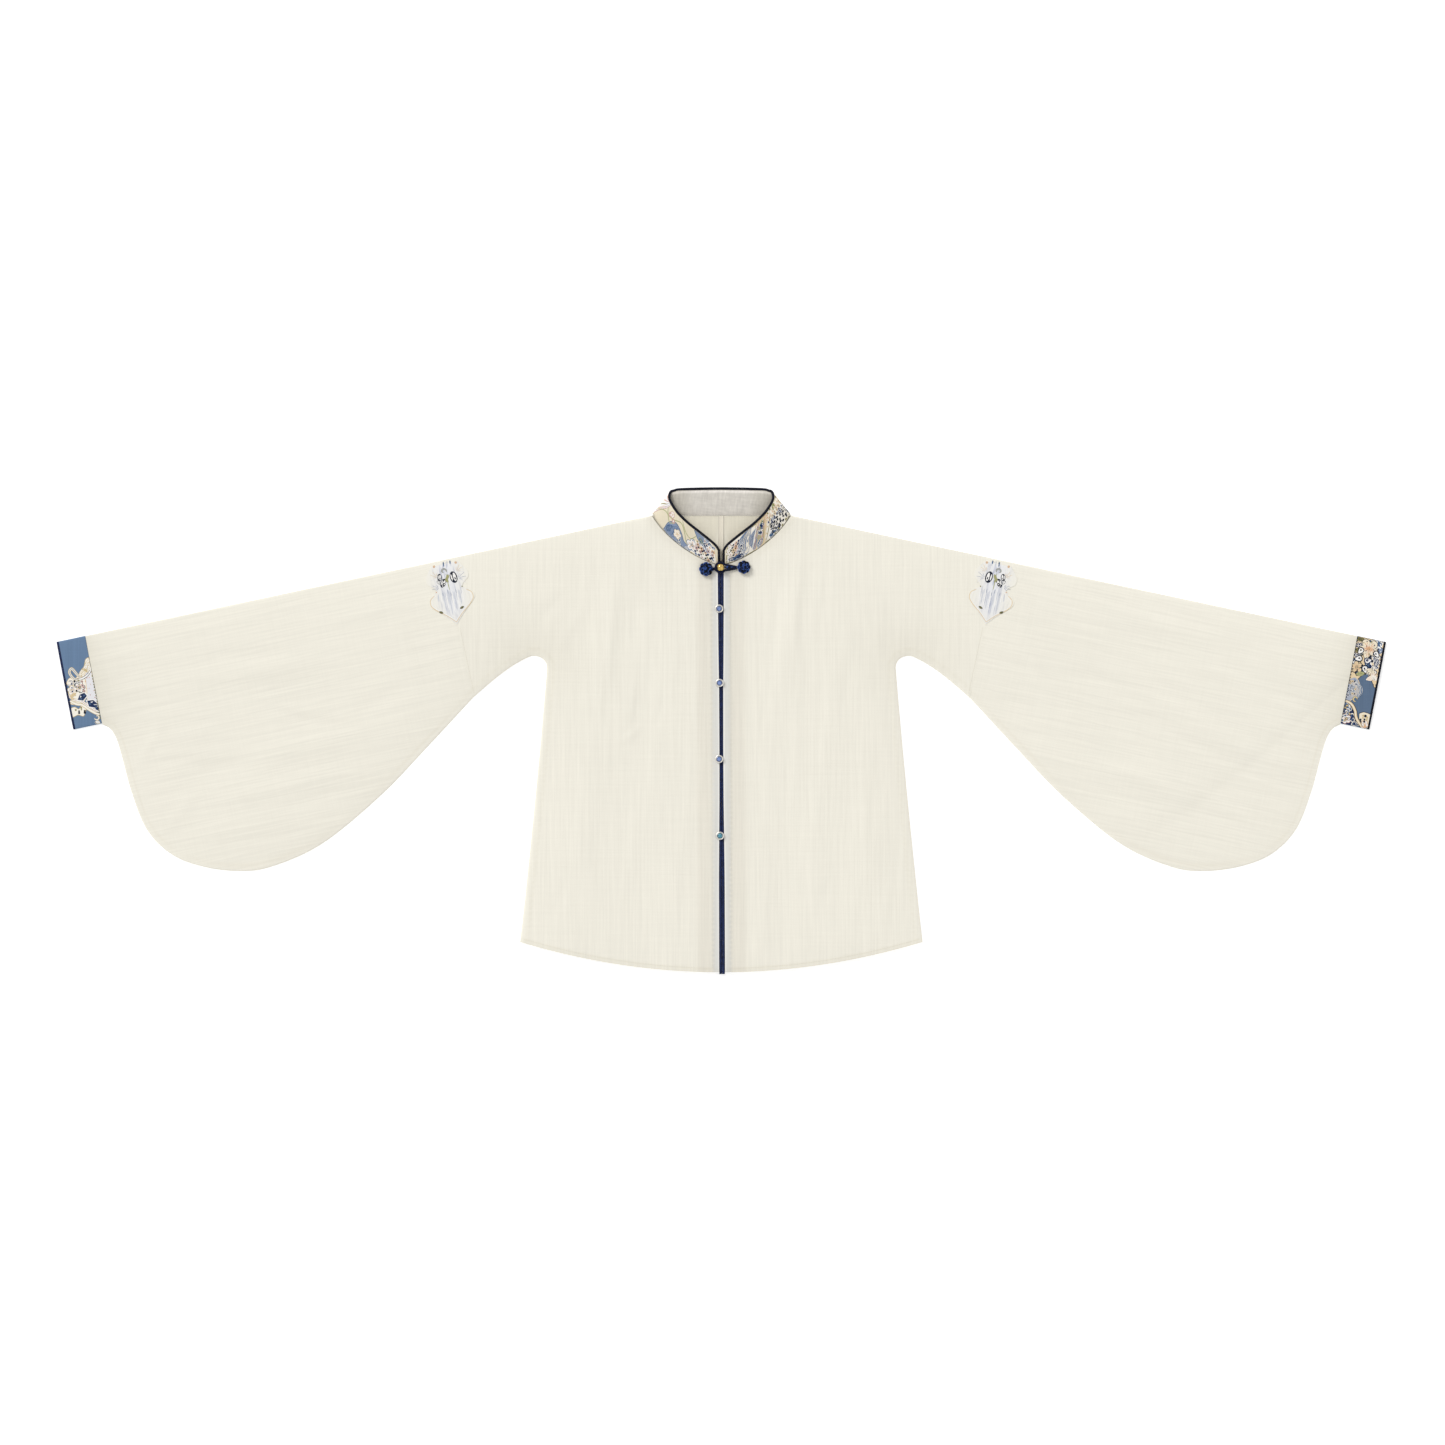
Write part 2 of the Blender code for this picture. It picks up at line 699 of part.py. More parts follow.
def add_collar(print_cloth, lining, binding):
    """Outer collar, its lining and the binding along its edge."""
    stations = collar_stations()
    shares = np.linspace(0.0, 1.0, 3)
    grid = np.array([[seam + (top - seam) * share for share in shares] for seam, top in stations])
    along_run = np.gradient(grid, axis=0)
    across_run = np.gradient(grid, axis=1)
    inward = np.cross(across_run, along_run)
    inward /= np.linalg.norm(inward, axis=2)[:, :, None]
    half_wall = inward * COLLAR_WALL / 2
    add_slab("collar", grid - half_wall, grid + half_wall, print_cloth)
    step_in = COLLAR_WALL / 2 + SEAM_GAP
    add_slab(
        "collar_lining",
        grid + inward * step_in,
        grid + inward * (step_in + COLLAR_WALL),
        lining,
    )
    edge = np.vstack([grid[0], grid[1:-1, -1], grid[-1][::-1]])
    facing = np.vstack([inward[0], inward[1:-1, -1], inward[-1][::-1]])
    outward = np.cross(np.gradient(edge, axis=0), facing)
    outward /= np.linalg.norm(outward, axis=1)[:, None]
    middle = edge + facing * (COLLAR_WALL / 2 + SEAM_GAP / 2)
    path = middle + outward * (BINDING_RADIUS + 2 * SEAM_GAP)
    path[:, 2] = np.maximum(path[:, 2], BINDING_RADIUS + SEAM_GAP)
    add_cord("collar_binding", path, (BINDING_RADIUS, BINDING_RADIUS), 6, binding)


def add_slab(name, first_face, second_face, finish):
    """A closed slab between two grids of points."""
    rows, columns = first_face.shape[:2]
    points = np.vstack([first_face.reshape(-1, 3), second_face.reshape(-1, 3)])
    shift = rows * columns
    faces = []
    for row in range(rows - 1):
        for column in range(columns - 1):
            corner = row * columns + column
            opposite = corner + columns + 1
            halves = [[corner, corner + 1, opposite], [corner, opposite, corner + columns]]
            faces += halves
            faces += [[place + shift for place in half][::-1] for half in halves]
    rim = [row * columns for row in range(rows)]
    rim += [(rows - 1) * columns + column for column in range(1, columns)]
    rim += [row * columns + columns - 1 for row in range(rows - 2, -1, -1)]
    rim += [column for column in range(columns - 2, 0, -1)]
    for start, end in zip(rim, rim[1:] + rim[:1]):
        faces.append([start, end, end + shift, start + shift])
    return add_mesh(name, points, faces, finish)


def add_front_edges(binding, cloth):
    """The bindings down both front edges and the strip behind the opening."""
    top_y = COLLAR_TOP_Y - FRONT_NECK_DROP - FRONT_BINDING_BELOW_NECK
    ys = np.linspace(hem_y(0.0) - FRONT_BINDING_BELOW_HEM, top_y, 30)
    widths = binding_width(ys)
    for label, side in SIDES.items():
        xs = centre_x(ys) + side * (SEAM_GAP + widths) / 2
        zs = upper_height(np.column_stack([xs, ys])) - PANEL_WALL / 2
        path = np.column_stack([xs, ys, zs])
        add_cord(f"front_binding_{label}", path, (widths / 2, FRONT_BINDING_HEIGHT / 2), 8, binding)
    half = UNDERLAP_WIDTH / 2
    strip_ys = np.linspace(top_y - UNDERLAP_BELOW_BINDING, hem_y(0.0) + UNDERLAP_ABOVE_HEM, 22)
    right_edge = [(-half, y) for y in strip_ys]
    left_edge = [(half, y) for y in strip_ys[::-1]]
    depth = PANEL_WALL / 2 + FRONT_BINDING_HEIGHT / 2 + SEAM_GAP
    add_panel(
        "underlap",
        np.array(right_edge + left_edge),
        UNDERLAP_WIDTH,
        lambda plan: upper_height(plan) - depth - TRIM_WALL,
        lambda plan: upper_height(plan) - depth,
        cloth,
    )


def add_appliques(gauze):
    """Patches that lie over the sleeve seams near the shoulder."""
    outer = even_steps(PATCH_OUTLINE, 22)
    for label, side in SIDES.items():
        plan = [on_sleeve(BODY_SEAM_ALONG - across, deep) for across, deep in outer]
        plan += [on_sleeve(BODY_SEAM_ALONG + across, deep) for across, deep in outer[::-1][:-1]]
        add_panel(
            f"applique_{label}",
            mirrored(plan, side),
            0.016,
            lambda points: upper_height(points) + 2 * SEAM_GAP,
            lambda points: upper_height(points) + 2 * SEAM_GAP + TRIM_WALL,
            gauze,
        )


def dome(radius, height):
    """Profile of a cushion with a flat foot, for add_turned."""
    return [
        (0.0, 0.0),
        (0.80 * radius, 0.0),
        (0.97 * radius, 0.22 * height),
        (1.00 * radius, 0.42 * height),
        (0.86 * radius, 0.74 * height),
        (0.52 * radius, 0.94 * height),
        (0.0, height),
    ]


def add_frog(cord, gold):
    """Two knots, one with a stem to the bead, and the loop round the bead."""
    knots = {}
    for label, (x, y, radius) in KNOTS.items():
        place = (x, y, upper_height([(x, y)])[0] + 3 * SEAM_GAP)
        profile = dome(radius, KNOT_HEIGHT)
        name = f"frog_knot_{label}"
        knots[label] = add_turned(name, place, profile, 20, cord, KNOT_LOBES, KNOT_LOBE_DEPTH)
    bead_x, bead_y = BEAD_PLACE
    face = upper_height([BEAD_PLACE])[0] + FRONT_BINDING_HEIGHT / 2
    bead_z = face + SEAM_GAP + BEAD_RADIUS
    ball = []
    for step in range(9):
        angle = -math.pi / 2 + math.pi * step / 8
        ball.append((BEAD_RADIUS * math.cos(angle), BEAD_RADIUS * math.sin(angle)))
    ball[0] = (0.0, -BEAD_RADIUS)
    ball[-1] = (0.0, BEAD_RADIUS)
    add_turned("frog_bead", (bead_x, bead_y, bead_z), ball, 16, gold)
    loop_z = bead_z - LOOP_DROP
    ring = math.sqrt(BEAD_RADIUS**2 - LOOP_DROP**2) + SEAM_GAP + CORD_RADIUS
    turns = np.linspace(math.pi - LOOP_HALF_TURN, math.pi + LOOP_HALF_TURN, 15)
    round_bead = [(bead_x + ring * math.cos(a), bead_y + ring * math.sin(a), loop_z) for a in turns]
    knot_x, knot_y, knot_radius = KNOTS["left"]
    reach = (1.0 + KNOT_LOBE_DEPTH) * knot_radius + CORD_RADIUS + 2 * SEAM_GAP
    foot = (knot_x - reach, knot_y - LOOP_FOOT_DROP)
    foot_z = upper_height([foot])[0] + CORD_RADIUS + SEAM_GAP
    legs = []
    for shift in (CORD_RADIUS + SEAM_GAP, -CORD_RADIUS - SEAM_GAP):
        ankle = (foot[0] - LOOP_NECK, foot[1] + shift, 0.5 * (foot_z + loop_z))
        legs.append([(foot[0], foot[1] + shift, foot_z), ankle])
    path = legs[0] + round_bead + legs[1][::-1]
    add_cord("frog_loop", path, (CORD_RADIUS, CORD_RADIUS), 8, cord)
    knot_x, knot_y, knot_radius = KNOTS["right"]
    start = np.array((knot_x + 0.6 * knot_radius, knot_y))
    end = np.array((bead_x - 0.85 * BEAD_RADIUS - SEAM_GAP, 0.5 * (knot_y + bead_y)))
    stem_z = upper_height([start])[0] + FRONT_BINDING_HEIGHT / 2 + CORD_RADIUS + SEAM_GAP
    stem = [(*(start + share * (end - start)), stem_z) for share in np.linspace(0.0, 1.0, 4)]
    cutter = add_cord("frog_stem", stem, (STEM_RADIUS, STEM_RADIUS), 8, cord)
    cutter.hide_render = True
    cutter.display_type = "WIRE"
    join = knots["right"].modifiers.new("stem", "BOOLEAN")
    join.operation = "UNION"
    join.object = cutter


def add_snaps(metal, stone):
    """Snap caps: a turned ring with a domed stone set in it."""
    sides = 18
    for number, (x, y) in enumerate(SNAPS, start=1):
        base = upper_height([(x, y)])[0] + FRONT_BINDING_HEIGHT / 2 + SEAM_GAP
        ring = []
        for step in range(sides):
            angle = 2 * math.pi * step / sides
            ring.append(
                (
                    x + SNAP_RING_RADIUS * math.cos(angle),
                    y + SNAP_RING_RADIUS * math.sin(angle),
                    base + SNAP_RING_SECTION,
                )
            )
        section = (SNAP_RING_SECTION, SNAP_RING_SECTION)
        add_cord(f"snap_ring_{number}", ring, section, 7, metal, closed=True)
        profile = [
            (0.0, 0.0),
            (SNAP_STONE_RADIUS * 0.94, 0.0),
            (SNAP_STONE_RADIUS, SNAP_STONE_HEIGHT * 0.45),
            (SNAP_STONE_RADIUS * 0.7, SNAP_STONE_HEIGHT * 0.86),
            (0.0, SNAP_STONE_HEIGHT),
        ]
        add_turned(f"snap_stone_{number}", (x, y, base), profile, 14, stone)


def main():
    """Build the whole top."""
    clear_scene()
    cloth = material("cream cotton", CREAM, 0.88)
    print_cloth = material("printed brocade", PRINT_BLUE, 0.75)
    binding = material("navy satin binding", NAVY, 0.55)
    lining = material("plain lining", LINING, 0.85)
    gauze = material("grey gauze", GAUZE, 0.80)
    cord = material("navy knotted cord", NAVY, 0.65)
    gold = material("gold bead", (0.690, 0.470, 0.160), 0.25, 1.0)
    metal = material("silvery snap", (0.640, 0.650, 0.660), 0.30, 1.0)
    stone = material("blue stone", (0.190, 0.250, 0.400), 0.20)
    add_backs(cloth)
    add_fronts(cloth)
    add_sleeves(cloth, print_cloth, binding)
    add_collar(print_cloth, lining, binding)
    add_front_edges(binding, cloth)
    add_appliques(gauze)
    add_frog(cord, gold)
    add_snaps(metal, stone)


main()
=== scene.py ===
"""Looks of a stand-collar top with pipa sleeves, laid flat and seen from straight above.

Sizes are in metres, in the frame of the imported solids, and in millimetres on printed cloth. Right and
left are the wearer's, so the wearer's right sleeve lies at -X.
"""

import logging
import math
from collections.abc import Callable
from dataclasses import dataclass, field
from enum import Enum
from functools import partial

import bpy
import numpy as np
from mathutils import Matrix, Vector
from mathutils.geometry import delaunay_2d_cdt


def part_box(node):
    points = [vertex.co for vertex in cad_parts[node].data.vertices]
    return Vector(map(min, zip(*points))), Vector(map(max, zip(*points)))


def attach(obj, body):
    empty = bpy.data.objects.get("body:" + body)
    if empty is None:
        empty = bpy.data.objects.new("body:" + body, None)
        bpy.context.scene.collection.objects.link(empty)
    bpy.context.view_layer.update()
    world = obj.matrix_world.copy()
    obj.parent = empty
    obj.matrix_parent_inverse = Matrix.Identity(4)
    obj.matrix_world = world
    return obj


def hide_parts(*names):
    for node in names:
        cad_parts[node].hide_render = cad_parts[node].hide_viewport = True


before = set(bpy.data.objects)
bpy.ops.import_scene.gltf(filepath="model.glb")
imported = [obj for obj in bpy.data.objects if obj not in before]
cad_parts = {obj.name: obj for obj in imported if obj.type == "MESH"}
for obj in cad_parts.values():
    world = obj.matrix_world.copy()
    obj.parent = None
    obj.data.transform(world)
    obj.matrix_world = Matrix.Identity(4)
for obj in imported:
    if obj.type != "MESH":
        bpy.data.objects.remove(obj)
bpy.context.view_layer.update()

log = logging.getLogger("pipa_top")

Array = np.ndarray
Faces = list[list[int]]
Shape = tuple[Array, Faces]
Piece = bpy.types.Object
Material = bpy.types.Material
Tree = bpy.types.NodeTree
Node = bpy.types.Node

MM = 0.001
PHOTO_PIXELS = 1445
METRES_PER_PIXEL = 0.0014
DISPLAY_GAMMA = 2.2
SHARP_ANGLE = math.radians(50)
SLEEVE_SLOPE = math.radians(12.0)
SEAM_GAP = 0.0003
PANEL_WALL = 0.0012
# A wave's band repeats every 0.314 of its scale's unit.
WAVE_BAND = 0.314
# Steps that never line up, for fixed but irregular places, sizes and turns
UNEVEN_STEPS = (0.7549, 0.5698)
GOLDEN_STEP = 0.618
GOLDEN_TURN = 137.5


class Side(Enum):
    """The wearer's sides, as signs of X."""

    RIGHT = -1
    LEFT = 1

    @property
    def word(self) -> str:
        """Name of the side in node names."""
        return self.name.lower()


class Ink(Enum):
    """Colours of the printed cloth, as sRGB hex values."""

    NAVY = "#1F2F55"
    SLATE = "#4F6A8C"
    DUSK = "#8796B0"
    CREAM = "#F9F3E6"
    SAND = "#E6CFA8"
    PEACH = "#DDB08A"
    ROSE = "#CDA79C"
    SAGE = "#B3B588"
    OLIVE = "#8E8752"
    WHITE = "#F7F5F1"
    LILAC = "#E8E7EA"
    GREY = "#A9AFBD"
    COAL = "#1B2232"
    OCHRE = "#CDB88A"
    MIST = "#D0D3DA"
    IVORY = "#F0E4CB"


NAVY, SLATE, DUSK, CREAM, SAND, PEACH, ROSE, SAGE, OLIVE, WHITE, LILAC, GREY, COAL, OCHRE, MIST, IVORY = Ink


def linear(hex_colour: str, share: float = 1.0) -> tuple[float, float, float, float]:
    """Turn an sRGB hex colour into linear colour.

    Args:
        hex_colour: Colour such as "#F1E9D6".
        share: Factor on its brightness.

    Returns:
        Linear red, green, blue and an alpha of one.
    """
    channels = [int(hex_colour[place : place + 2], 16) / 255 for place in (1, 3, 5)]
    values = [c / 12.92 if c <= 0.04045 else ((c + 0.055) / 1.055) ** 2.4 for c in channels]
    return (values[0] * share, values[1] * share, values[2] * share, 1.0)


def add_node(
    tree: Tree,
    kind: str,
    values: dict[int | str, object] | None = None,
    links: dict[int | str, bpy.types.NodeSocket] | None = None,
    **settings: object,
) -> bpy.types.NodeOutputs:
    """Add one shader node with its settings, input values and links.

    Args:
        tree: Node tree that gets the node.
        kind: Blender's name of the node type, after "ShaderNode".
        values: Default values of its inputs, by name or place.
        links: Output sockets that feed its inputs, by name or place.
        settings: Attributes of the node.

    Returns:
        The new node's outputs.
    """
    node = tree.nodes.new("ShaderNode" + kind)
    for key, value in settings.items():
        setattr(node, key, value)
    for key, value in (values or {}).items():
        node.inputs[key].default_value = value
    for key, socket in (links or {}).items():
        tree.links.new(socket, node.inputs[key])
    return node.outputs


@dataclass(frozen=True)
class Finish:
    """A surface finish that makes its own material."""

    name: str
    colour: str
    roughness: float

    def material(self) -> Material:
        """Return the finish's material, made on first use."""
        found = bpy.data.materials.get(self.name)
        if found:
            return found
        made = bpy.data.materials.new(self.name)
        made.use_nodes = True
        shader = made.node_tree.nodes["Principled BSDF"]
        shader.inputs["Base Color"].default_value = linear(self.colour)
        shader.inputs["Roughness"].default_value = self.roughness
        self.dress(made.node_tree, shader)
        return made

    def dress(self, tree: Tree, shader: Node) -> None:
        """Add what this finish has over a plain coloured surface."""


@dataclass(frozen=True)
class SlubCotton(Finish):
    """Matt plain-weave cotton: slubbed yarns give faint streaks along the grain and across it.

    Real threads are 0.3 mm apart. They are drawn 1.1 mm apart, so that the weave shows.
    """

    grain: float = 0.0
    slub_width_mm: float = 2.6
    slub_length_mm: float = 90.0
    thread_mm: float = 1.1
    streak: float = 0.052
    cross_share: float = 0.3
    sheen: float = 0.10

    def dress(self, tree: Tree, shader: Node) -> None:
        """Tint by slubs and by the tone painted on the points, which holds show-through as well as painted
        shade and painted light, and raise the weave.
        """
        add = partial(add_node, tree)
        place = add("TexCoord")["Object"]
        turned = add("Mapping", {"Rotation": (0.0, 0.0, self.grain)}, {"Vector": place})[0]
        fine, long = 1 / (self.slub_width_mm * MM), 1 / (self.slub_length_mm * MM)
        factors = []
        along, across = (fine, long, 60.0), (long, fine, 60.0)
        for scale, depth in ((along, self.streak), (across, self.cross_share * self.streak)):
            stretched = add("Mapping", {"Scale": scale}, {"Vector": turned})[0]
            noise = {"Scale": 1.0, "Detail": 3.0, "Roughness": 0.6}
            slubs = add("TexNoise", noise, {"Vector": stretched})["Fac"]
            reach = {1: 0.25, 2: 0.75, 3: 1.0 - depth, 4: 1.0 + 0.7 * depth}
            factors.append(add("MapRange", reach, {0: slubs})[0])
        strength = add("Math", links={0: factors[0], 1: factors[1]}, operation="MULTIPLY")[0]
        tone = add("Attribute", attribute_name="tone")["Color"]
        base = {0: 1.0, 6: linear(self.colour)}
        toned = add("Mix", base, {7: tone}, data_type="RGBA", blend_type="MULTIPLY")[2]
        coloured = add("VectorMath", links={0: toned, "Scale": strength}, operation="SCALE")[0]
        tree.links.new(coloured, shader.inputs["Base Color"])
        shader.inputs["Sheen Weight"].default_value = self.sheen
        shader.inputs["Specular IOR Level"].default_value = 0.25
        ribs = {"Scale": WAVE_BAND / (self.thread_mm * MM), "Distortion": 0.6}
        warp = add("TexWave", ribs, {"Vector": turned}, bands_direction="X")["Fac"]
        weft = add("TexWave", ribs, {"Vector": turned}, bands_direction="Y")["Fac"]
        crossed = add("Math", links={0: warp, 1: weft}, operation="MULTIPLY")[0]
        raised = add("Math", {1: 2.0}, {0: slubs, 2: crossed}, operation="MULTIPLY_ADD")[0]
        bump = add("Bump", {"Strength": 0.35, "Distance": 0.00022}, {"Height": raised})[0]
        tree.links.new(bump, shader.inputs["Normal"])


@dataclass(frozen=True)
class SatinBinding(Finish):
    """Bias-cut cotton satin: slanting ribs give a low, silky gleam."""

    rib_mm: float = 0.9
    slant: float = math.radians(42)
    patch_mm: float = 5.5
    dark: float = 0.6
    light: float = 1.3
    blur: float = 0.14

    def dress(self, tree: Tree, shader: Node) -> None:
        """Add slanting ribs and blotches of darker and lighter tone along the strip; on the knot cord the
        blotches are strong and stand partly for painted shade and highlight between its strands.
        """
        add = partial(add_node, tree)
        place = add("TexCoord")["Object"]
        turned = add("Mapping", {"Rotation": (0.0, 0.0, self.slant)}, {"Vector": place})[0]
        bands = {"Scale": WAVE_BAND / (self.rib_mm * MM), "Distortion": 0.8}
        ribs = add("TexWave", bands, {"Vector": turned})["Fac"]
        blotches = {"Scale": 1 / (self.patch_mm * MM), "Detail": 3.0}
        patches = add("TexNoise", blotches, {"Vector": place})["Fac"]
        share = add("MapRange", {1: 0.5 - self.blur, 2: 0.5 + self.blur}, {0: patches})[0]
        shades = {6: linear(self.colour, self.dark), 7: linear(self.colour, self.light)}
        tinted = add("Mix", shades, {0: share}, data_type="RGBA")[2]
        tree.links.new(tinted, shader.inputs["Base Color"])
        shader.inputs["Specular IOR Level"].default_value = 0.2
        bump = add("Bump", {"Strength": 0.3, "Distance": 0.00015}, {"Height": ribs})[0]
        tree.links.new(bump, shader.inputs["Normal"])


@dataclass(frozen=True)
class StripedGauze(Finish):
    """Thin gauze over the cream cloth: uneven lengthwise threads show as broken grey strokes."""

    grain: float = 0.0
    stroke_colour: str = "#A9ADC2"
    stroke_width_mm: float = 3.2
    stroke_length_mm: float = 22.0

    def dress(self, tree: Tree, shader: Node) -> None:
        """Mix broken strokes into the gauze where its painted tone is greyest."""
        add = partial(add_node, tree)
        place = add("TexCoord")["Object"]
        turned = add("Mapping", {"Rotation": (0.0, 0.0, self.grain)}, {"Vector": place})[0]
        scale = (1 / (self.stroke_width_mm * MM), 1 / (self.stroke_length_mm * MM), 40.0)
        stretched = add("Mapping", {"Scale": scale}, {"Vector": turned})[0]
        strokes = add("TexNoise", {"Scale": 1.0, "Detail": 2.0}, {"Vector": stretched})["Fac"]
        tone = add("Attribute", attribute_name="tone")
        share = add("MapRange", {1: 0.50, 2: 0.72, 3: 0.0, 4: 0.85}, {0: strokes})[0]
        kept = add("Math", links={0: share, 1: tone["Alpha"]}, operation="MULTIPLY")[0]
        shades = {6: linear(self.colour), 7: linear(self.stroke_colour)}
        striped = add("Mix", shades, {0: kept}, data_type="RGBA")[2]
        links = {6: striped, 7: tone["Color"]}
        shaded = add("Mix", {0: 1.0}, links, data_type="RGBA", blend_type="MULTIPLY")[2]
        tree.links.new(shaded, shader.inputs["Base Color"])
        shader.inputs["Sheen Weight"].default_value = 0.15


@dataclass(frozen=True)
class PrintInk(Finish):
    """Pigment print on cotton: matt, with the weave breaking its colour slightly."""

    def dress(self, tree: Tree, shader: Node) -> None:
        """Break the colour by the weave."""
        add = partial(add_node, tree)
        place = add("TexCoord")["Object"]
        grains = add("TexNoise", {"Scale": 700.0, "Detail": 2.0}, {"Vector": place})["Fac"]
        shades = {6: linear(self.colour, 0.84), 7: linear(self.colour, 1.06)}
        broken = add("Mix", shades, {0: grains}, data_type="RGBA")[2]
        tree.links.new(broken, shader.inputs["Base Color"])
        shader.inputs["Specular IOR Level"].default_value = 0.25


@dataclass(frozen=True)
class PlatedMetal(Finish):
    """Electroplated metal: smooth and bright, with faint wear in its gloss."""

    def dress(self, tree: Tree, shader: Node) -> None:
        """Make the surface metal and vary its gloss a little."""
        add = partial(add_node, tree)
        shader.inputs["Metallic"].default_value = 1.0
        place = add("TexCoord")["Object"]
        wear = add("TexNoise", {"Scale": 900.0, "Detail": 2.0}, {"Vector": place})["Fac"]
        gloss = add("MapRange", {3: self.roughness * 0.8, 4: self.roughness * 1.3}, {0: wear})[0]
        tree.links.new(gloss, shader.inputs["Roughness"])


@dataclass(frozen=True)
class PearlResin(Finish):
    """Cast pearly resin: cloudy colour under a clear, glossy face, lighter in its middle and darker at its
    set edge, where the darkening is painted shade of the rim.
    """

    cloud_colour: str = "#8FA3CC"

    def dress(self, tree: Tree, shader: Node) -> None:
        """Mix pale clouds into the resin, multiply by the painted tone, which lightens its middle and
        darkens its edge as painted shade of the rim, and give it a clear coat.
        """
        add = partial(add_node, tree)
        place = add("TexCoord")["Object"]
        cloudy = {"Scale": 420.0, "Detail": 2.0, "Distortion": 1.2}
        clouds = add("TexNoise", cloudy, {"Vector": place})["Fac"]
        share = add("MapRange", {1: 0.40, 2: 0.70, 3: 0.0, 4: 0.8}, {0: clouds})[0]
        shades = {6: linear(self.colour), 7: linear(self.cloud_colour)}
        mixed = add("Mix", shades, {0: share}, data_type="RGBA")[2]
        tone = add("Attribute", attribute_name="tone")["Color"]
        links = {6: mixed, 7: tone}
        shaded = add("Mix", {0: 1.0}, links, data_type="RGBA", blend_type="MULTIPLY")[2]
        tree.links.new(shaded, shader.inputs["Base Color"])
        shader.inputs["Coat Weight"].default_value = 0.3
        shader.inputs["Coat Roughness"].default_value = 0.08


ALONG_SLEEVE = {
    Side.RIGHT: math.radians(90) - SLEEVE_SLOPE,
    Side.LEFT: math.radians(90) + SLEEVE_SLOPE,
}
CLOTH = "#EEEADD"
BODY_COTTON = SlubCotton("Cotton slub plain weave body", CLOTH, 0.9)
SLEEVE_COTTON = {
    side: SlubCotton(f"Cotton slub plain weave {side.word} sleeve", CLOTH, 0.9, ALONG_SLEEVE[side])
    for side in Side
}
LINING_COTTON = SlubCotton("Cotton muslin lining", "#D5D0C7", 0.92, 0.1, 3.2, 16.0, 0.9, 0.13, 0.7)
COLLAR_GROUND = SlubCotton("Printed cotton sateen beige ground", "#E2D8C0", 0.85, streak=0.06)
CUFF_GROUND = {
    Side.RIGHT: SlubCotton("Printed cotton sateen light slate ground", "#667F9D", 0.82, streak=0.09),
    Side.LEFT: SlubCotton("Printed cotton sateen dark slate ground", "#5B6F88", 0.82, streak=0.12),
}
FRONT_SATIN = SatinBinding("Cotton satin bias binding navy", "#182449", 0.6)
EDGE_SATIN = SatinBinding("Cotton satin bias binding dark navy", "#080C1C", 0.75)
# The knot cord's strong dark and light blotches stand partly for its braided strands and partly for painted
# shade and highlight between them.
KNOT_SATIN = SatinBinding(
    "Satin cord navy", "#1C2E56", 0.5, 1.6, patch_mm=4.4, dark=0.03, light=3.0, blur=0.05
)
# Near-black cord for the stem and loop, also used for the knot cores, where it is painted shade between the
# cords.
SHADED_SATIN = SatinBinding("Satin cord dark navy", "#0C1430", 0.7, 1.6)
SEWING_THREAD = PrintInk("Spun polyester thread cream", "#E4DFD0", 0.8)
NAVY_THREAD = PrintInk("Spun polyester thread navy", "#2A3660", 0.8)
GOLD = PlatedMetal("Gold plated brass polished", "#F0D080", 0.22)
SILVER = PlatedMetal("Nickel plated brass polished", "#FAF7F1", 0.42)
STONES = (
    PearlResin("Cast resin violet blue upper", "#4A5F92", 0.2),
    PearlResin("Cast resin violet blue second", "#455C96", 0.2),
    PearlResin("Cast resin violet blue third", "#50659A", 0.2),
    PearlResin("Cast resin teal blue", "#256C84", 0.2, "#8CC0C8"),
)


def ink_finish(ink: Ink) -> PrintInk:
    """Finish of one print colour."""
    return PrintInk(f"Pigment print {ink.name.lower()}", ink.value, 0.85)


def unit(rows: Array) -> Array:
    """Vectors drawn out to unit length."""
    return rows / np.maximum(np.linalg.norm(rows, axis=-1, keepdims=True), 1e-12)


def through(rows: Array, steps: int) -> Array:
    """Read a smooth curve through rows of numbers.

    Args:
        rows: Points that the curve passes, with any number of columns.
        steps: How many places are read between two rows.

    Returns:
        The places on the curve, the last row included.
    """
    table = np.array(rows, float)
    padded = np.vstack([2 * table[0] - table[1], table, 2 * table[-1] - table[-2]])
    t = np.linspace(0.0, 1.0, steps, endpoint=False)[:, None]
    read = []
    for index in range(len(table) - 1):
        before, here, there, after = padded[index : index + 4]
        bend = 2 * before - 5 * here + 4 * there - after
        twist = 3 * here - before - 3 * there + after
        read.append(0.5 * (2 * here + (there - before) * t + bend * t**2 + twist * t**3))
    return np.vstack([*read, table[-1:]])


def run_lengths(line: Array) -> Array:
    """Distance along a line at each of its points."""
    return np.concatenate([[0.0], np.cumsum(np.linalg.norm(np.diff(line, axis=0), axis=1))])


def read_at(places: Array, marks: Array, rows: Array) -> Array:
    """Read each column of rows at places, where marks give the rows' own places."""
    return np.column_stack([np.interp(places, marks, column) for column in rows.T])


def even_steps(rows: Array, count: int) -> Array:
    """Read the smooth curve through rows at places that are evenly spaced in its plan.

    Args:
        rows: Points that the curve passes; the first two columns are its plan.
        count: How many places are read.

    Returns:
        The places on the curve.
    """
    line = through(rows, 16)
    total = run_lengths(line[:, :2])
    wanted = np.linspace(0.0, total[-1], count)
    return read_at(wanted, total, line)


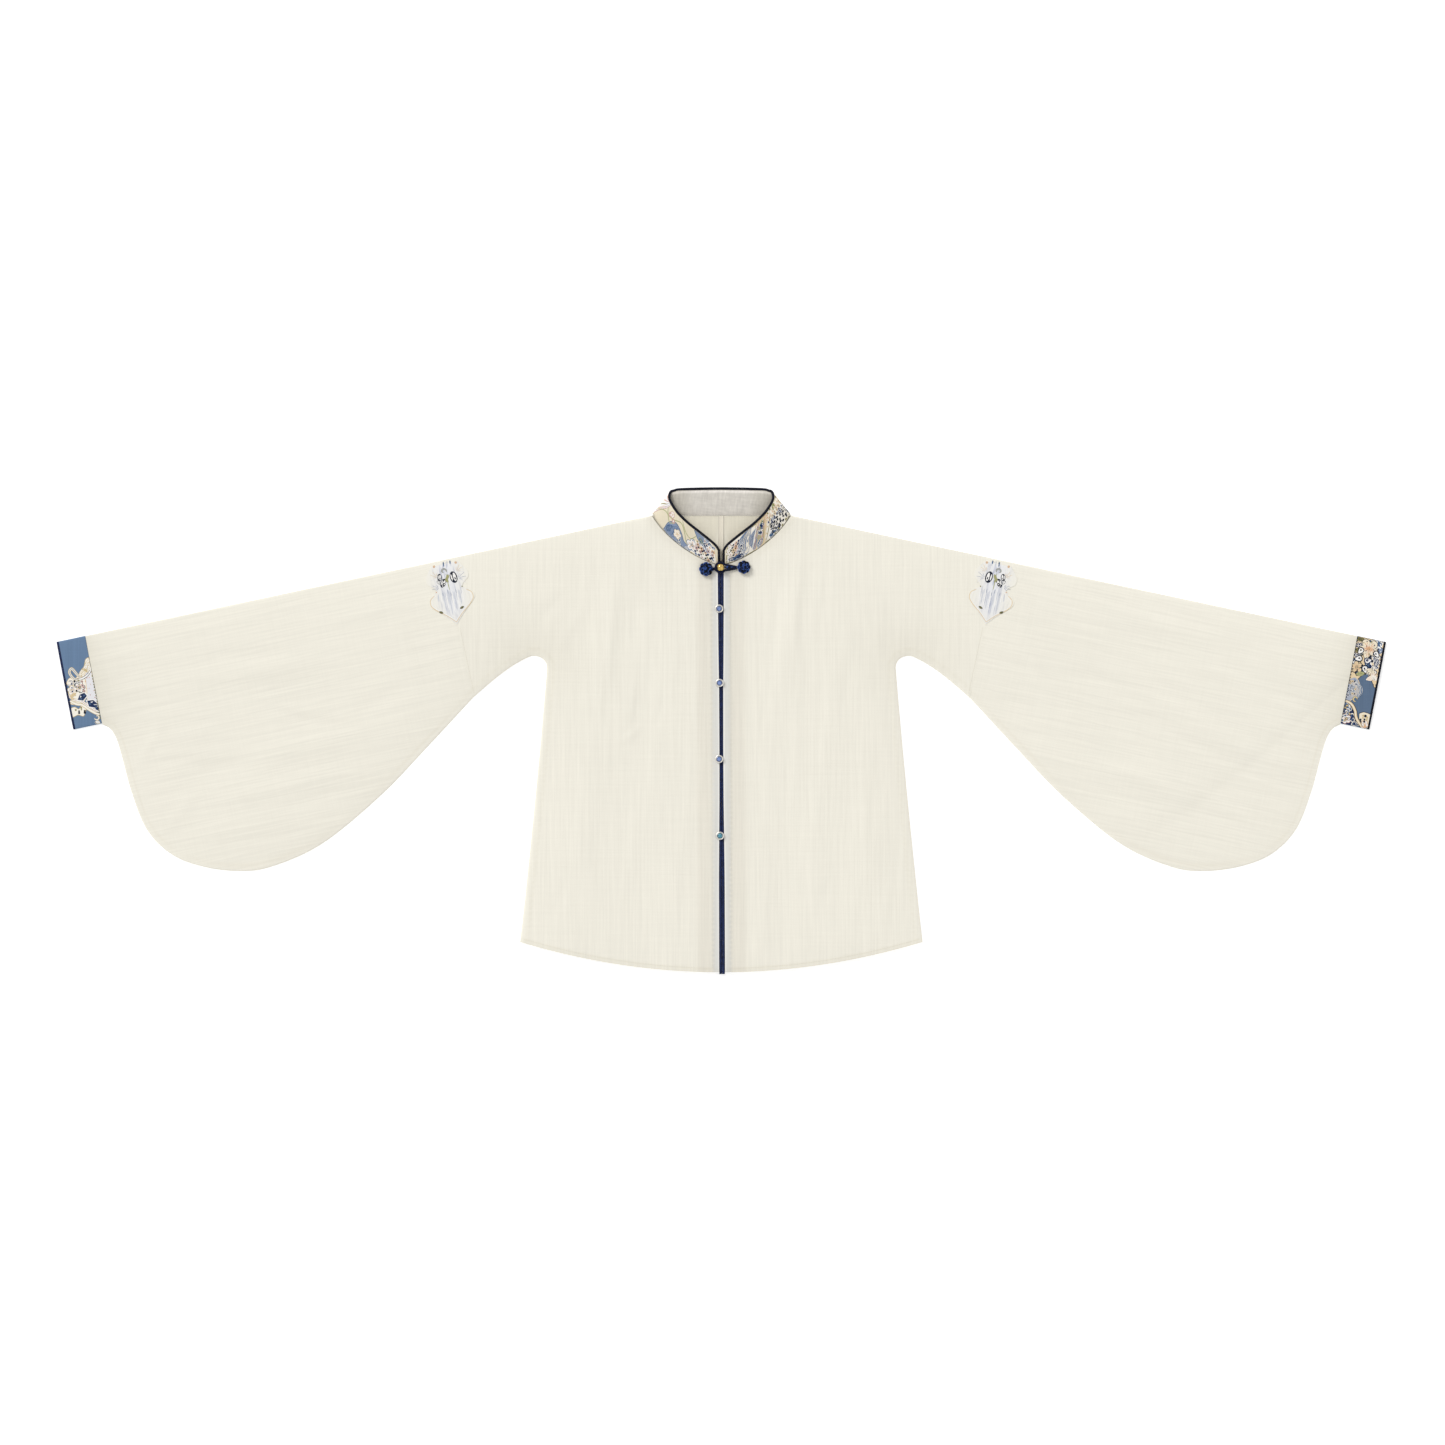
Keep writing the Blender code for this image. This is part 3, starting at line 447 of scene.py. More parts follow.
def bezier(start: Array, start_pull: tuple, end_pull: tuple, end: Array, count: int) -> Array:
    """Read a cubic curve.

    Args:
        start: First point.
        start_pull: How far the first point pulls the curve.
        end_pull: How far the last point pulls it.
        end: Last point.
        count: How many places are read.

    Returns:
        Plan points, both ends included.
    """
    t = np.linspace(0.0, 1.0, count)[:, None]
    a, d = np.array(start, float), np.array(end, float)
    b, c = a + start_pull, d + end_pull
    return (1 - t) ** 3 * a + 3 * (1 - t) ** 2 * t * b + 3 * (1 - t) * t**2 * c + t**3 * d


def left_of(ahead: Array) -> Array:
    """Plan directions a quarter turn to the left of others."""
    return np.column_stack([-ahead[:, 1], ahead[:, 0]])


def moved_sideways(line: Array, distance: float) -> Array:
    """Move a plan line to its left by a distance."""
    return line + distance * left_of(unit(np.gradient(line, axis=0)))


def distance_to_line(points: Array, line: Array) -> Array:
    """Shortest plan distance of each point from a line.

    Args:
        points: Plan points.
        line: Points of the line in order.

    Returns:
        One distance for each point.
    """
    nearest = np.full(len(points), np.inf)
    for start, end in zip(line[:-1], line[1:]):
        run = end - start
        share = np.clip(((points - start) @ run) / max(run @ run, 1e-12), 0.0, 1.0)
        foot = start + share[:, None] * run
        nearest = np.minimum(nearest, np.linalg.norm(points - foot, axis=1))
    return nearest


def are_inside(points: Array, ring: Array) -> Array:
    """Which plan points lie within a closed ring."""
    inside = np.zeros(len(points), bool)
    x, y = points[:, 0], points[:, 1]
    for (ax, ay), (bx, by) in zip(ring, np.roll(ring, -1, axis=0)):
        if ay != by:
            inside ^= ((ay > y) != (by > y)) & (x < ax + (y - ay) / (by - ay) * (bx - ax))
    return inside


def ring_area(ring: Array) -> float:
    """Signed plan area within a closed ring."""
    turned = np.roll(ring, -1, axis=0)
    return float(np.sum(ring[:, 0] * turned[:, 1] - turned[:, 0] * ring[:, 1])) / 2


def fall(distance: Array, edge: float, softness: float) -> Array:
    """One before an edge and none after it, with a soft step between."""
    return 1.0 / (1.0 + np.exp(np.clip((distance - edge) / softness, -60.0, 60.0)))


def bell(distance: Array, width: float) -> Array:
    """One at no distance, falling smoothly to none over a width."""
    return np.exp(-((distance / width) ** 2))


def mirrored(plan: Array) -> Array:
    """Plan points moved to the wearer's left half."""
    return np.column_stack([np.abs(plan[:, 0]), plan[:, 1]])


def shaded_tones(count: int, *rows: tuple[Array, tuple]) -> Array:
    """Three tones for each point: one, less each row's amount times its tint."""
    tones = np.ones((count, 3))
    for amount, tint in rows:
        tones -= amount[:, None] * np.array(tint)
    return tones


@dataclass(frozen=True)
class Crease:
    """One soft trough or ridge pressed into the upper cloth.

    The direction is in degrees from +X, and a bend of one swings an end aside by the half length.
    """

    x: float
    y: float
    direction: float
    half_length: float
    half_width: float
    rise: float
    bend: float = 0.0

    @classmethod
    def pressed(
        cls, x: float, y: float, turn: float, long: float, wide: float, rise: float, bend: float = 0.0
    ) -> "Crease":
        """Make a crease from millimetres, and its rise from thousandths of one."""
        return cls(x / 1000, y / 1000, turn, long / 1000, wide / 1000, rise / 1000000, bend)

    def frame(self, places: Array) -> tuple[Array, Array]:
        """Distances along and across the crease at plan points."""
        angle = math.radians(self.direction)
        apart = places - np.array((self.x, self.y))
        along = apart @ np.array((math.cos(angle), math.sin(angle)))
        return along, apart @ np.array((-math.sin(angle), math.cos(angle)))

    def height(self, places: Array) -> Array:
        """Height that the crease adds at plan points, steeper on one side."""
        along, across = self.frame(places)
        across = across - self.bend * along**2 / self.half_length
        taper = np.clip(1.0 - (along / (1.35 * self.half_length)) ** 2, 0.0, 1.0) ** 2
        steep = 1.0 + 0.35 * np.tanh(across / self.half_width)
        return self.rise * taper * steep * bell(across, self.half_width)

    def swell(self, places: Array) -> Array:
        """Height that a broad fold of the solids adds at plan points."""
        along, across = self.frame(places)
        return self.rise * bell(along, self.half_length) * bell(across, self.half_width)


# Each: x, y, direction, half length and half width in millimetres, height in thousandths of one. These
# are the solids' own folds.
BROAD_FOLDS = [Crease.pressed(*row) for row in (
    (-158, 140, 84, 90, 16, 1200),
    (-108, 10, 88, 80, 15, -1000),
    (-190, -120, 80, 110, 20, 1100),
    (-70, -190, 90, 90, 18, 800),
    (95, 130, 82, 110, 15, 1200),
    (150, 0, 84, 110, 17, 1000),
    (90, -170, 88, 100, 20, -900),
    (205, -180, 82, 90, 18, 900),
    (-640, 85, 7, 100, 14, 1200),
    (-580, -20, 10, 110, 18, 1200),
    (-600, -78, 8, 80, 15, 1000),
    (-720, -60, 24, 80, 17, -1000),
    (-680, -135, 10, 70, 15, 1000),
    (600, 150, -14, 110, 16, 1100),
    (640, 25, -29, 70, 16, 1200),
    (740, -30, -22, 80, 16, 1100),
    (590, -70, -19, 90, 17, 1100),
    (700, -130, -40, 60, 15, -1000),
)]

# Each: the same, and a bend. The right sleeve's run along it, and the left one's slant across it.
CREASES = [Crease.pressed(*row) for row in (
    (-649, 90, 6, 91, 4.5, 550, 0.03),
    (-650, 77, 7, 84, 4, 450, 0.02),
    (-735, 86, 2, 45, 6, -500),
    (-590, 17, -15, 55, 6, -700, 0.1),
    (-600, 29, -12, 45, 6, 550, 0.08),
    (-719, 23.1, 6, 58, 5, 500),
    (-712, 0.7, 12, 50, 5, 550, -0.04),
    (-720, -21.7, 6, 45, 6, -450),
    (-573, -68, 9, 69, 4.5, 600, 0.02),
    (-566, -57, 8, 45, 3.5, 400),
    (-722, -51.1, -3, 80, 9.5, -600, 0.04),
    (-677, -132, 12, 26, 5, -600),
    (-669, -93.1, 6, 56, 6.5, 550, -0.03),
    (-555, -90.3, 16, 60, 7, -450),
    (-828, 108, 10, 32, 4.5, 450),
    (-826, 82, 14, 30, 4, -450),
    (-822, 56, 16, 34, 4.5, 450),
    (-812, 27, 24, 36, 5, -450),
    (-798, -20, 58, 34, 7, 500),
    (-509, 157.5, 12, 40, 10, 550),
    (-470, 45, 30, 50, 10, -500),
    (-440, 115, -70, 50, 9, 500),
    (-640, -164, 4, 50, 8, 500),
    (-760, -120, 50, 40, 8, 500, 0.05),
    (-520, 75, 16, 50, 8, 400),
    (-690, 118, 10, 60, 7, 450),
    (617, 150.5, -15, 99, 8.5, 700, 0.02),
    (527, 87.5, -20, 47, 8, 550),
    (545, 65, -22, 50, 8, -500),
    (649, 21.7, -31, 68, 8.5, 800, 0.06),
    (628, -2, -30, 60, 8, -600, 0.04),
    (747, -30.1, -22, 78, 7.5, 700, -0.03),
    (715, -48, -24, 60, 8, -550),
    (583, -66.5, -20, 76, 8, 650, 0.03),
    (560, -88, -18, 50, 7, -450),
    (705, -107.1, -29, 65, 6.5, 650, 0.04),
    (733, -167.3, -58, 24, 5, -600),
    (663, -140, -10, 40, 6, 500),
    (772, 80.5, -15, 70, 6.5, 600, 0.02),
    (796, 42.7, -27, 70, 8, -550),
    (509, 180, -18, 30, 8, 450),
    (440, 90, -64, 50, 10, 500),
    (820, 100, -10, 36, 4.5, 450),
    (818, 64, -16, 34, 4.5, -450),
    (806, 20, -34, 34, 6, 500),
    (690, 85, -24, 60, 7, 450, -0.04),
    (-152, 140.7, 87, 85, 6.5, 700, 0.02),
    (-118, 161.7, 88, 42, 7, -500),
    (-62, 105.7, 90, 36, 6, 450),
    (-82, 34.3, 80, 30, 5.5, -600, 0.08),
    (-119, 21.7, 85, 36, 5, -600, -0.06),
    (-124, -6, 40, 18, 5, 600, 0.1),
    (-170, 42.7, 88, 42, 6.5, 500),
    (-226, -237.3, 75, 40, 9, -500),
    (-120, -150, 86, 70, 8, 400),
    (-160, -250, 94, 50, 8, 400),
    (-205, 150, 62, 40, 8, 500, 0.05),
    (-238, 170, 48, 36, 8, -450),
    (106, 168.7, 86, 90, 6.5, 800, -0.02),
    (134, 183, 85, 50, 6, 500),
    (78, 150, 88, 50, 6, -450),
    (105, -55.3, 86, 70, 6.5, 650, 0.02),
    (54, -97.3, 88, 50, 7, -450),
    (148, -223.3, 80, 32, 6, -500, 0.06),
    (198, -111.3, 84, 100, 10, 450),
    (180, 70, 80, 50, 8, -450),
    (205, 150, 118, 40, 8, 500, -0.05),
    (238, 170, 132, 36, 8, -450),
    (60, -260, 92, 50, 8, 400),
    (230, -250, 78, 40, 8, 450),
)]


@dataclass(frozen=True)
class LaidForm:
    """The garment's plan and the height of its laid cloth, as in the solids."""

    top_y: float = 0.341
    neck_point_x: float = 0.0976
    neck_y: float = 0.3012
    neck_front_pull: tuple[float, float] = (0.0350, 0.0085)
    neck_side_pull: tuple[float, float] = (-0.0201, -0.0342)
    front_neck_y: float = 0.2300
    hem_half_width: float = 0.2820
    hem_corner_y: float = -0.2962
    hem_sag: float = 0.0424
    underarm: tuple[float, float] = (0.2660, 0.1042)
    underarm_radius: float = 0.0170
    side_seam_top_x: float = 0.2443
    centre_drift: float = 0.0012
    body_seam_along: float = 0.2980
    body_seam_deep: float = 0.1980
    cuff_seam_along: float = 0.8110
    cuff_deep: float = 0.1250
    cuff_length: float = 0.0410
    cuff_lean: float = 0.0025
    edge_height: float = 0.0027
    edge_round: float = 0.0022
    loft: float = 0.0031
    loft_reach: float = 0.030
    hem_loft_reach: float = 0.012
    hem_flattening: float = 0.4
    neck_lift: float = 0.0022
    neck_lift_reach: float = 0.026
    calm_reach: float = 0.050
    crease_edge: float = 0.012
    crease_from_front: float = 0.012
    crease_fade: float = 0.020
    # Columns: along and deep place of the lower edge, along place of the fold end
    sleeve_sections: tuple[tuple[float, float, float], ...] = (
        (0.2980, 0.1980, 0.2980),
        (0.3740, 0.2515, 0.3740),
        (0.4520, 0.3045, 0.4520),
        (0.5460, 0.3535, 0.5350),
        (0.6220, 0.3705, 0.6000),
        (0.6690, 0.3670, 0.6400),
        (0.7180, 0.3500, 0.6750),
        (0.7570, 0.3240, 0.7050),
        (0.7830, 0.2840, 0.7300),
        (0.7930, 0.2300, 0.7520),
        (0.7960, 0.1780, 0.7700),
        (0.7985, 0.1500, 0.7850),
        (0.8040, 0.1345, 0.7980),
        (0.8132, 0.1265, 0.8107),
    )
    # Columns: y, width of one front binding there
    binding_widths: tuple[tuple[float, float], ...] = (
        (-0.3400, 0.0037),
        (-0.2100, 0.0036),
        (-0.1393, 0.0030),
        (-0.0973, 0.0025),
        (-0.0203, 0.0023),
        (0.0600, 0.0025),
        (0.0945, 0.0030),
        (0.1547, 0.0035),
        (0.2300, 0.0038),
    )

    def on_sleeve(self, along: Array, deep: Array, side: int = 1) -> Array:
        """Plan points on a sleeve.

        Args:
            along: Distances from the neck point along the shoulder fold.
            deep: Distances below the fold.
            side: Sign of X.

        Returns:
            X and Y of each, or of one where both are single numbers.
        """
        lean_cos, lean_sin = math.cos(SLEEVE_SLOPE), math.sin(SLEEVE_SLOPE)
        x = side * (self.neck_point_x + along * lean_cos - deep * lean_sin)
        y = self.neck_y - along * lean_sin - deep * lean_cos
        return np.stack(np.broadcast_arrays(x, y), axis=-1)

    def front_neck(self, count: int) -> Array:
        """Front neck seam from the centre to the neck point."""
        start, end = (0.0, self.front_neck_y), (self.neck_point_x, self.neck_y)
        return bezier(start, self.neck_front_pull, self.neck_side_pull, end, count)

    def underarm_line(self, detail: int) -> Array:
        """Lower edge from the body seam round the underarm to the hem corner.

        Args:
            detail: How much finer than the solids the line is.

        Returns:
            Plan points on the wearer's left.
        """
        seam_end = self.on_sleeve(self.body_seam_along, self.body_seam_deep)
        side_top = (self.side_seam_top_x, self.underarm[1] - self.underarm_radius)
        corner = (self.hem_half_width, self.hem_corner_y)
        run = bezier(seam_end, (-0.0300, 0.0270), (0.0260, -0.0100), self.underarm, 6 * detail)
        turn = bezier(self.underarm, (-0.0120, 0.0015), (0.0, 0.0119), side_top, 5 * detail)
        side = bezier(side_top, (0.0090, -0.1130), (-0.0125, 0.1100), corner, 16 * detail)
        return np.vstack([run[:-1], turn[:-1], side])

    def sleeve_edge(self, count: int) -> Array:
        """Lower edge of the wearer's left sleeve as plan points."""
        places = even_steps(self.sleeve_sections, count)
        return self.on_sleeve(places[:, 0], places[:, 1])

    def body_seam(self) -> Array:
        """Seam between the body panels and the lower sleeve, on the wearer's left."""
        return self.on_sleeve(self.body_seam_along, np.array((0.0, self.body_seam_deep)))

    def hem_y(self, x: Array) -> Array:
        """Y of the rounded hem at places across."""
        return self.hem_corner_y - self.hem_sag + self.hem_sag * (x / self.hem_half_width) ** 2

    def centre_x(self, y: Array) -> Array:
        """Where the two fronts meet at places up the front."""
        return -self.centre_drift * y / self.top_y

    def binding_width(self, y: Array) -> Array:
        """Width of one front binding at places up the front."""
        return np.interp(y, *zip(*self.binding_widths))

    def depth_inside(self, places: Array) -> Array:
        """Distance of plan points from the nearest edge where upper and under cloth meet."""
        half = mirrored(places)
        cuff_end = self.cuff_seam_along + self.cuff_length
        fold = self.on_sleeve(np.array((0.0, cuff_end)), 0.0)
        end = self.on_sleeve(cuff_end + self.cuff_lean, self.cuff_deep)
        lower = np.vstack([[end], self.sleeve_edge(60)[::-1], self.underarm_line(1)])
        return np.minimum(distance_to_line(half, fold), distance_to_line(half, lower))

    def creased(self, places: Array) -> Array:
        """Height of the fine creases at plan points."""
        return sum(crease.height(places) for crease in CREASES)

    def underside(self, places: Array) -> Array:
        """How far shallow creases lift the under cloth off the surface, mirrored from the upper."""
        return 0.4 * np.maximum(self.creased(places * np.array((-1.0, 1.0))), 0.0)

    def height(self, places: Array, creased: bool = True, foot: float | None = None) -> Array:
        """Height of the upper cloth's outer face.

        Args:
            places: Plan points.
            creased: Whether the fine creases are added to the solids' own folds.
            foot: Height to which closed edges are rounded down, if they are.

        Returns:
            One height for each point.
        """
        inside = self.depth_inside(places)
        height = self.edge_height + self.loft * (1.0 - np.exp(-inside / self.loft_reach))
        above_hem = np.maximum(places[:, 1] - self.hem_y(np.abs(places[:, 0])), 0.0)
        flattening = self.hem_flattening * np.exp(-above_hem / self.hem_loft_reach)
        height -= (height - self.edge_height) * flattening
        from_neck = np.hypot(np.abs(places[:, 0]) - self.neck_point_x, places[:, 1] - self.neck_y)
        height += self.neck_lift * bell(from_neck, self.neck_lift_reach)
        calm = np.clip(inside / self.calm_reach, 0.0, 1.0)
        height += calm * sum(fold.swell(places) for fold in BROAD_FOLDS)
        if creased:
            soft = np.clip(inside / self.crease_edge, 0.0, 1.0)
            from_front = np.abs(places[:, 0]) - self.crease_from_front
            off_front = np.clip(from_front / self.crease_fade, 0.0, 1.0)
            height += self.creased(places) * soft * off_front
        if foot is not None:
            share = np.clip(inside / self.edge_round, 0.0, 1.0)
            height = foot + (height - foot) * np.sqrt(1.0 - (1.0 - share) ** 2)
        return height


FORM = LaidForm()


def mesh_piece(
    name: str,
    points: Array,
    faces: Faces,
    finishes: list[Finish],
    face_finishes: list[int] | None = None,
) -> Piece:
    """Make one smooth-shaded mesh object that rides on the root.

    Args:
        name: Name of the piece.
        points: Its points in space.
        faces: Its faces as lists of point numbers.
        finishes: Its finishes in order.
        face_finishes: Which finish each face has.

    Returns:
        The linked object.
    """
    mesh = bpy.data.meshes.new(name)
    mesh.from_pydata(np.asarray(points).tolist(), [], faces)
    for finish in finishes:
        mesh.materials.append(finish.material())
    if face_finishes is not None:
        mesh.polygons.foreach_set("material_index", face_finishes)
    mesh.shade_smooth()
    mesh.set_sharp_from_angle(angle=SHARP_ANGLE)
    piece = bpy.data.objects.new(name, mesh)
    bpy.context.collection.objects.link(piece)
    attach(piece, "root")
    log.info("built %s with %d faces", name, len(faces))
    return piece


def paint_tone(piece: Piece, tones: Array, strokes: Array | None = None) -> None:
    """Store a colour factor on each point for the finish to multiply by; the factors hold show-through and
    seam lines, and in places painted shade and painted light.

    Args:
        piece: The mesh piece.
        tones: Red, green and blue factors as seen, one row a point, repeated for a shell's under face.
        strokes: How strongly gauze shows its strokes, one value a point.
    """
    repeats = len(piece.data.vertices) // len(tones)
    strength = np.ones(len(tones)) if strokes is None else strokes
    rows = np.column_stack([np.clip(tones, 0.0, 2.0) ** DISPLAY_GAMMA, strength])
    layer = piece.data.color_attributes.new("tone", "FLOAT_COLOR", "POINT")
    layer.data.foreach_set("color", np.tile(rows, (repeats, 1)).astype(np.float32).ravel())


def closed_shell(
    points: Array, faces: Faces, wall: float
) -> Shape:
    """Close a one-sided sheet with an under face and a rim round its open edges.

    Args:
        points: The sheet's points.
        faces: Its faces, all of which face out.
        wall: Thickness of the cloth.

    Returns:
        Points, of which the sheet's own come first, and faces.
    """
    normals = np.zeros_like(points)
    for size in sorted({len(face) for face in faces}):
        rows = np.array([face for face in faces if len(face) == size])
        corners = points[rows]
        turn = np.cross(corners[:, 2] - corners[:, 0], corners[:, -1] - corners[:, 1])
        for column in rows.T:
            np.add.at(normals, column, turn)
    count = len(points)
    edges = [edge for face in faces for edge in zip(face, face[1:] + face[:1])]
    known = set(edges)
    rim = [edge for edge in edges if edge[::-1] not in known]
    closed = faces + [[corner + count for corner in face[::-1]] for face in faces]
    closed += [[end, start, start + count, end + count] for start, end in rim]
    return np.vstack([points, points - wall * unit(normals)]), closed


def fill_plan(ring: Array, step: float, insets: tuple[float, ...]) -> Shape:
    """Fill a closed plan ring with triangles, finer along its edge.

    Args:
        ring: Corners of the ring in order.
        step: Spacing of the points within.
        insets: Distances from the edge at which rows of points follow it.

    Returns:
        Plan points and triangles that face up.
    """
    if ring_area(ring) < 0:
        ring = ring[::-1]
    closed = np.vstack([ring, ring[:1]])
    sideways = left_of(unit(np.roll(ring, -1, axis=0) - np.roll(ring, 1, axis=0)))
    rows = []
    for inset in insets:
        row = ring + inset * sideways
        rows.append(row[(distance_to_line(row, closed) > 0.93 * inset) & are_inside(row, ring)])
    low, high = ring.min(axis=0), ring.max(axis=0)
    row_step = step * math.sqrt(3) / 2
    grid = []
    for row in range(int((high[1] - low[1]) / row_step) + 1):
        xs = np.arange(low[0] + 0.5 * step * (row % 2), high[0], step)
        grid.append(np.column_stack([xs, np.full(len(xs), low[1] + (row + 0.5) * row_step)]))
    grid = np.vstack(grid)
    grid = grid[are_inside(grid, ring)]
    grid = grid[distance_to_line(grid, closed) > max(insets) + 0.5 * step]
    points = [Vector(point) for point in np.vstack([ring, *rows, grid])]
    found = delaunay_2d_cdt(points, [], [list(range(len(ring)))], 1, 1e-7)
    return np.array([tuple(point) for point in found[0]]), [list(face) for face in found[2]]


def grid_faces(rows: int, columns: int, around: bool = False) -> Faces:
    """Faces of a grid of points, numbered row by row.

    Args:
        rows: How many rows.
        columns: How many points in a row.
        around: Whether the last point of a row meets its first.

    Returns:
        Four-cornered faces.
    """
    steps = columns if around else columns - 1
    faces = []
    for start in range(0, (rows - 1) * columns, columns):
        for step in range(steps):
            after = (step + 1) % columns
            faces.append([start + step, start + after, start + columns + after, start + columns + step])
    return faces


def tube_mesh(
    path: Array, across: float | Array, upright: float, sides: int, closed: bool = False
) -> Shape:
    """Points and faces of an oval tube along a path.

    Args:
        path: Points of its middle line.
        across: Half of its width, one value or one for each point.
        upright: Half of its height.
        sides: How many faces go round it.
        closed: Whether the path is a ring.

    Returns:
        Points and faces.
    """
    if closed:
        path = np.vstack([path, path[:1]])
        ahead = np.roll(path[:-1], -1, axis=0) - np.roll(path[:-1], 1, axis=0)
        ahead = unit(np.vstack([ahead, ahead[:1]]))
    else:
        ahead = unit(np.gradient(path, axis=0))
    sideways = unit(np.cross(np.array((0.0, 0.0, 1.0)), ahead))
    upward = np.cross(ahead, sideways)
    turns = 2 * math.pi * (np.arange(sides) + 0.5) / sides
    reach = np.broadcast_to(across, len(path))[:, None, None]
    points = path[:, None] + reach * np.cos(turns)[None, :, None] * sideways[:, None]
    points = points + upright * np.sin(turns)[None, :, None] * upward[:, None]
    faces = [face[::-1] for face in grid_faces(len(path), sides, around=True)]
    if not closed:
        last = (len(path) - 1) * sides
        faces += [list(range(sides)), list(range(last, last + sides))[::-1]]
        return points.reshape(-1, 3), faces
    count = (len(path) - 1) * sides
    return points.reshape(-1, 3)[:count], [[corner % count for corner in face] for face in faces]


def turned_mesh(
    centre: Array, profile: list[tuple[float, float]], sides: int
) -> Shape:
    """Points and faces of a round piece turned about a vertical axis.

    Args:
        centre: Point on its axis.
        profile: Radius and height of each ring, from foot to crown, closed by points on the axis.
        sides: How many faces go round it.

    Returns:
        Points and faces.
    """
    turns = 2 * math.pi * np.arange(sides) / sides
    rings = [
        np.column_stack([radius * np.cos(turns), radius * np.sin(turns), np.full(sides, height)])
        for radius, height in profile[1:-1]
    ]
    points = np.vstack([*rings, [(0, 0, profile[0][1]), (0, 0, profile[-1][1])]])
    faces = grid_faces(len(rings), sides, around=True)
    top = (len(rings) - 1) * sides
    foot, crown = top + sides, top + sides + 1
    for step in range(sides):
        after = (step + 1) % sides
        faces += [[foot, after, step], [top + step, top + after, crown]]
    return points + np.array(centre), faces


class MeshBatch:
    """Gathers many small shapes into one mesh, with a finish for each."""

    def __init__(self) -> None:
        """Start with nothing gathered."""
        self.points: list[Array] = []
        self.faces: Faces = []
        self.slots: list[int] = []
        self.finishes: list[Finish] = []
        self.count = 0

    def add(self, shape: Shape, finish: Finish) -> None:
        """Add one shape.

        Args:
            shape: Its points, and its faces numbered from its own first point.
            finish: Its finish.
        """
        points, faces = shape
        if finish not in self.finishes:
            self.finishes.append(finish)
        self.points.append(points)
        self.faces += [[corner + self.count for corner in face] for face in faces]
        self.slots += [self.finishes.index(finish)] * len(faces)
        self.count += len(points)

    def build(self, name: str, slot: str, *nodes: str) -> Piece:
        """Make the gathered mesh into a piece.

        Args:
            name: Name of the piece.
            slot: Not used.
            nodes: CAD nodes that it stands for.

        Returns:
            The piece.
        """
        piece = mesh_piece(name, np.vstack(self.points), self.faces, self.finishes, self.slots)
        if nodes:
            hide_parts(*nodes)
        return piece


@dataclass
class Stitching:
    """A row of machine stitches sunk a little into the cloth."""

    length: float = 0.0026
    pitch: float = 0.0034
    thread: float = 0.00016
    proud: float = 0.00004

    def sew(self, batch: MeshBatch, line: Array, finish: Finish) -> None:
        """Add stitches along a line in space.

        Args:
            batch: Mesh batch that gets the stitches.
            line: Points on the cloth's face.
            finish: The thread's finish.
        """
        total = run_lengths(line)
        for start in np.arange(0.5 * self.pitch, total[-1] - self.length, self.pitch):
            shares = start + self.length * np.array((0.0, 0.3, 0.7, 1.0))
            path = read_at(shares, total, line)
            path[:, 2] += np.array((-0.5, 1.0, 1.0, -0.5)) * self.thread + self.proud
            batch.add(tube_mesh(path, self.thread, self.thread, 5), finish)


@dataclass
class FrontEdges:
    """Navy bindings down the opening and the strip behind them."""

    height: float = 0.0022
    below_hem: float = 0.0024
    below_neck: float = 0.0015
    strip_width: float = 0.0320
    strip_below_binding: float = 0.0040
    strip_above_hem: float = 0.0060
    strip_wall: float = 0.0009

    def ends(self) -> tuple[float, float]:
        """Y of the bindings' lower and upper ends."""
        return FORM.hem_y(0.0) - self.below_hem, FORM.front_neck_y - self.below_neck

    def build_binding(self, side: Side) -> list[Piece]:
        """Make one binding and its stitches."""
        ys = np.linspace(*self.ends(), 260)
        widths = FORM.binding_width(ys)
        wander = 0.00010 * np.sin(ys * 61 + side.value) + 0.00006 * np.sin(ys * 173)
        xs = FORM.centre_x(ys) + side.value * (SEAM_GAP + widths) / 2 + wander
        zs = FORM.height(np.column_stack([xs, ys])) - PANEL_WALL / 2 + 0.0002
        path = np.column_stack([xs, ys, zs])
        batch = MeshBatch()
        batch.add(tube_mesh(path, widths / 2 + 0.0001, self.height / 2, 14), FRONT_SATIN)
        binding = batch.build(
            f"front_{side.word}_binding", "binding", f"front_binding_{side.word}"
        )
        seam = MeshBatch()
        line = path + np.array((side.value * 0.0007, 0.0, self.height / 2 - 0.00018))
        Stitching().sew(seam, line[4:-4], NAVY_THREAD)
        return [binding, seam.build(f"front_{side.word}_binding_stitches", "binding")]

    def build_strip(self) -> None:
        """Make the strip behind the opening."""
        low = FORM.hem_y(0.0) + self.strip_above_hem
        high = self.ends()[1] - self.strip_below_binding
        edge = np.column_stack([np.full(60, self.strip_width / 2), np.linspace(low, high, 60)])
        ring = np.vstack([edge, edge[::-1] * (-1.0, 1.0)])
        plan, faces = fill_plan(ring, 0.006, (0.002,))
        depth = PANEL_WALL / 2 + self.height / 2 + SEAM_GAP
        points = np.column_stack([plan, FORM.height(plan, creased=False) - depth])
        shell = closed_shell(points, faces, self.strip_wall)
        piece = mesh_piece("underlap_strip", *shell, [BODY_COTTON])
        paint_tone(piece, np.full((len(plan), 3), 0.97))
        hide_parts("underlap")
        ring_area(ring)


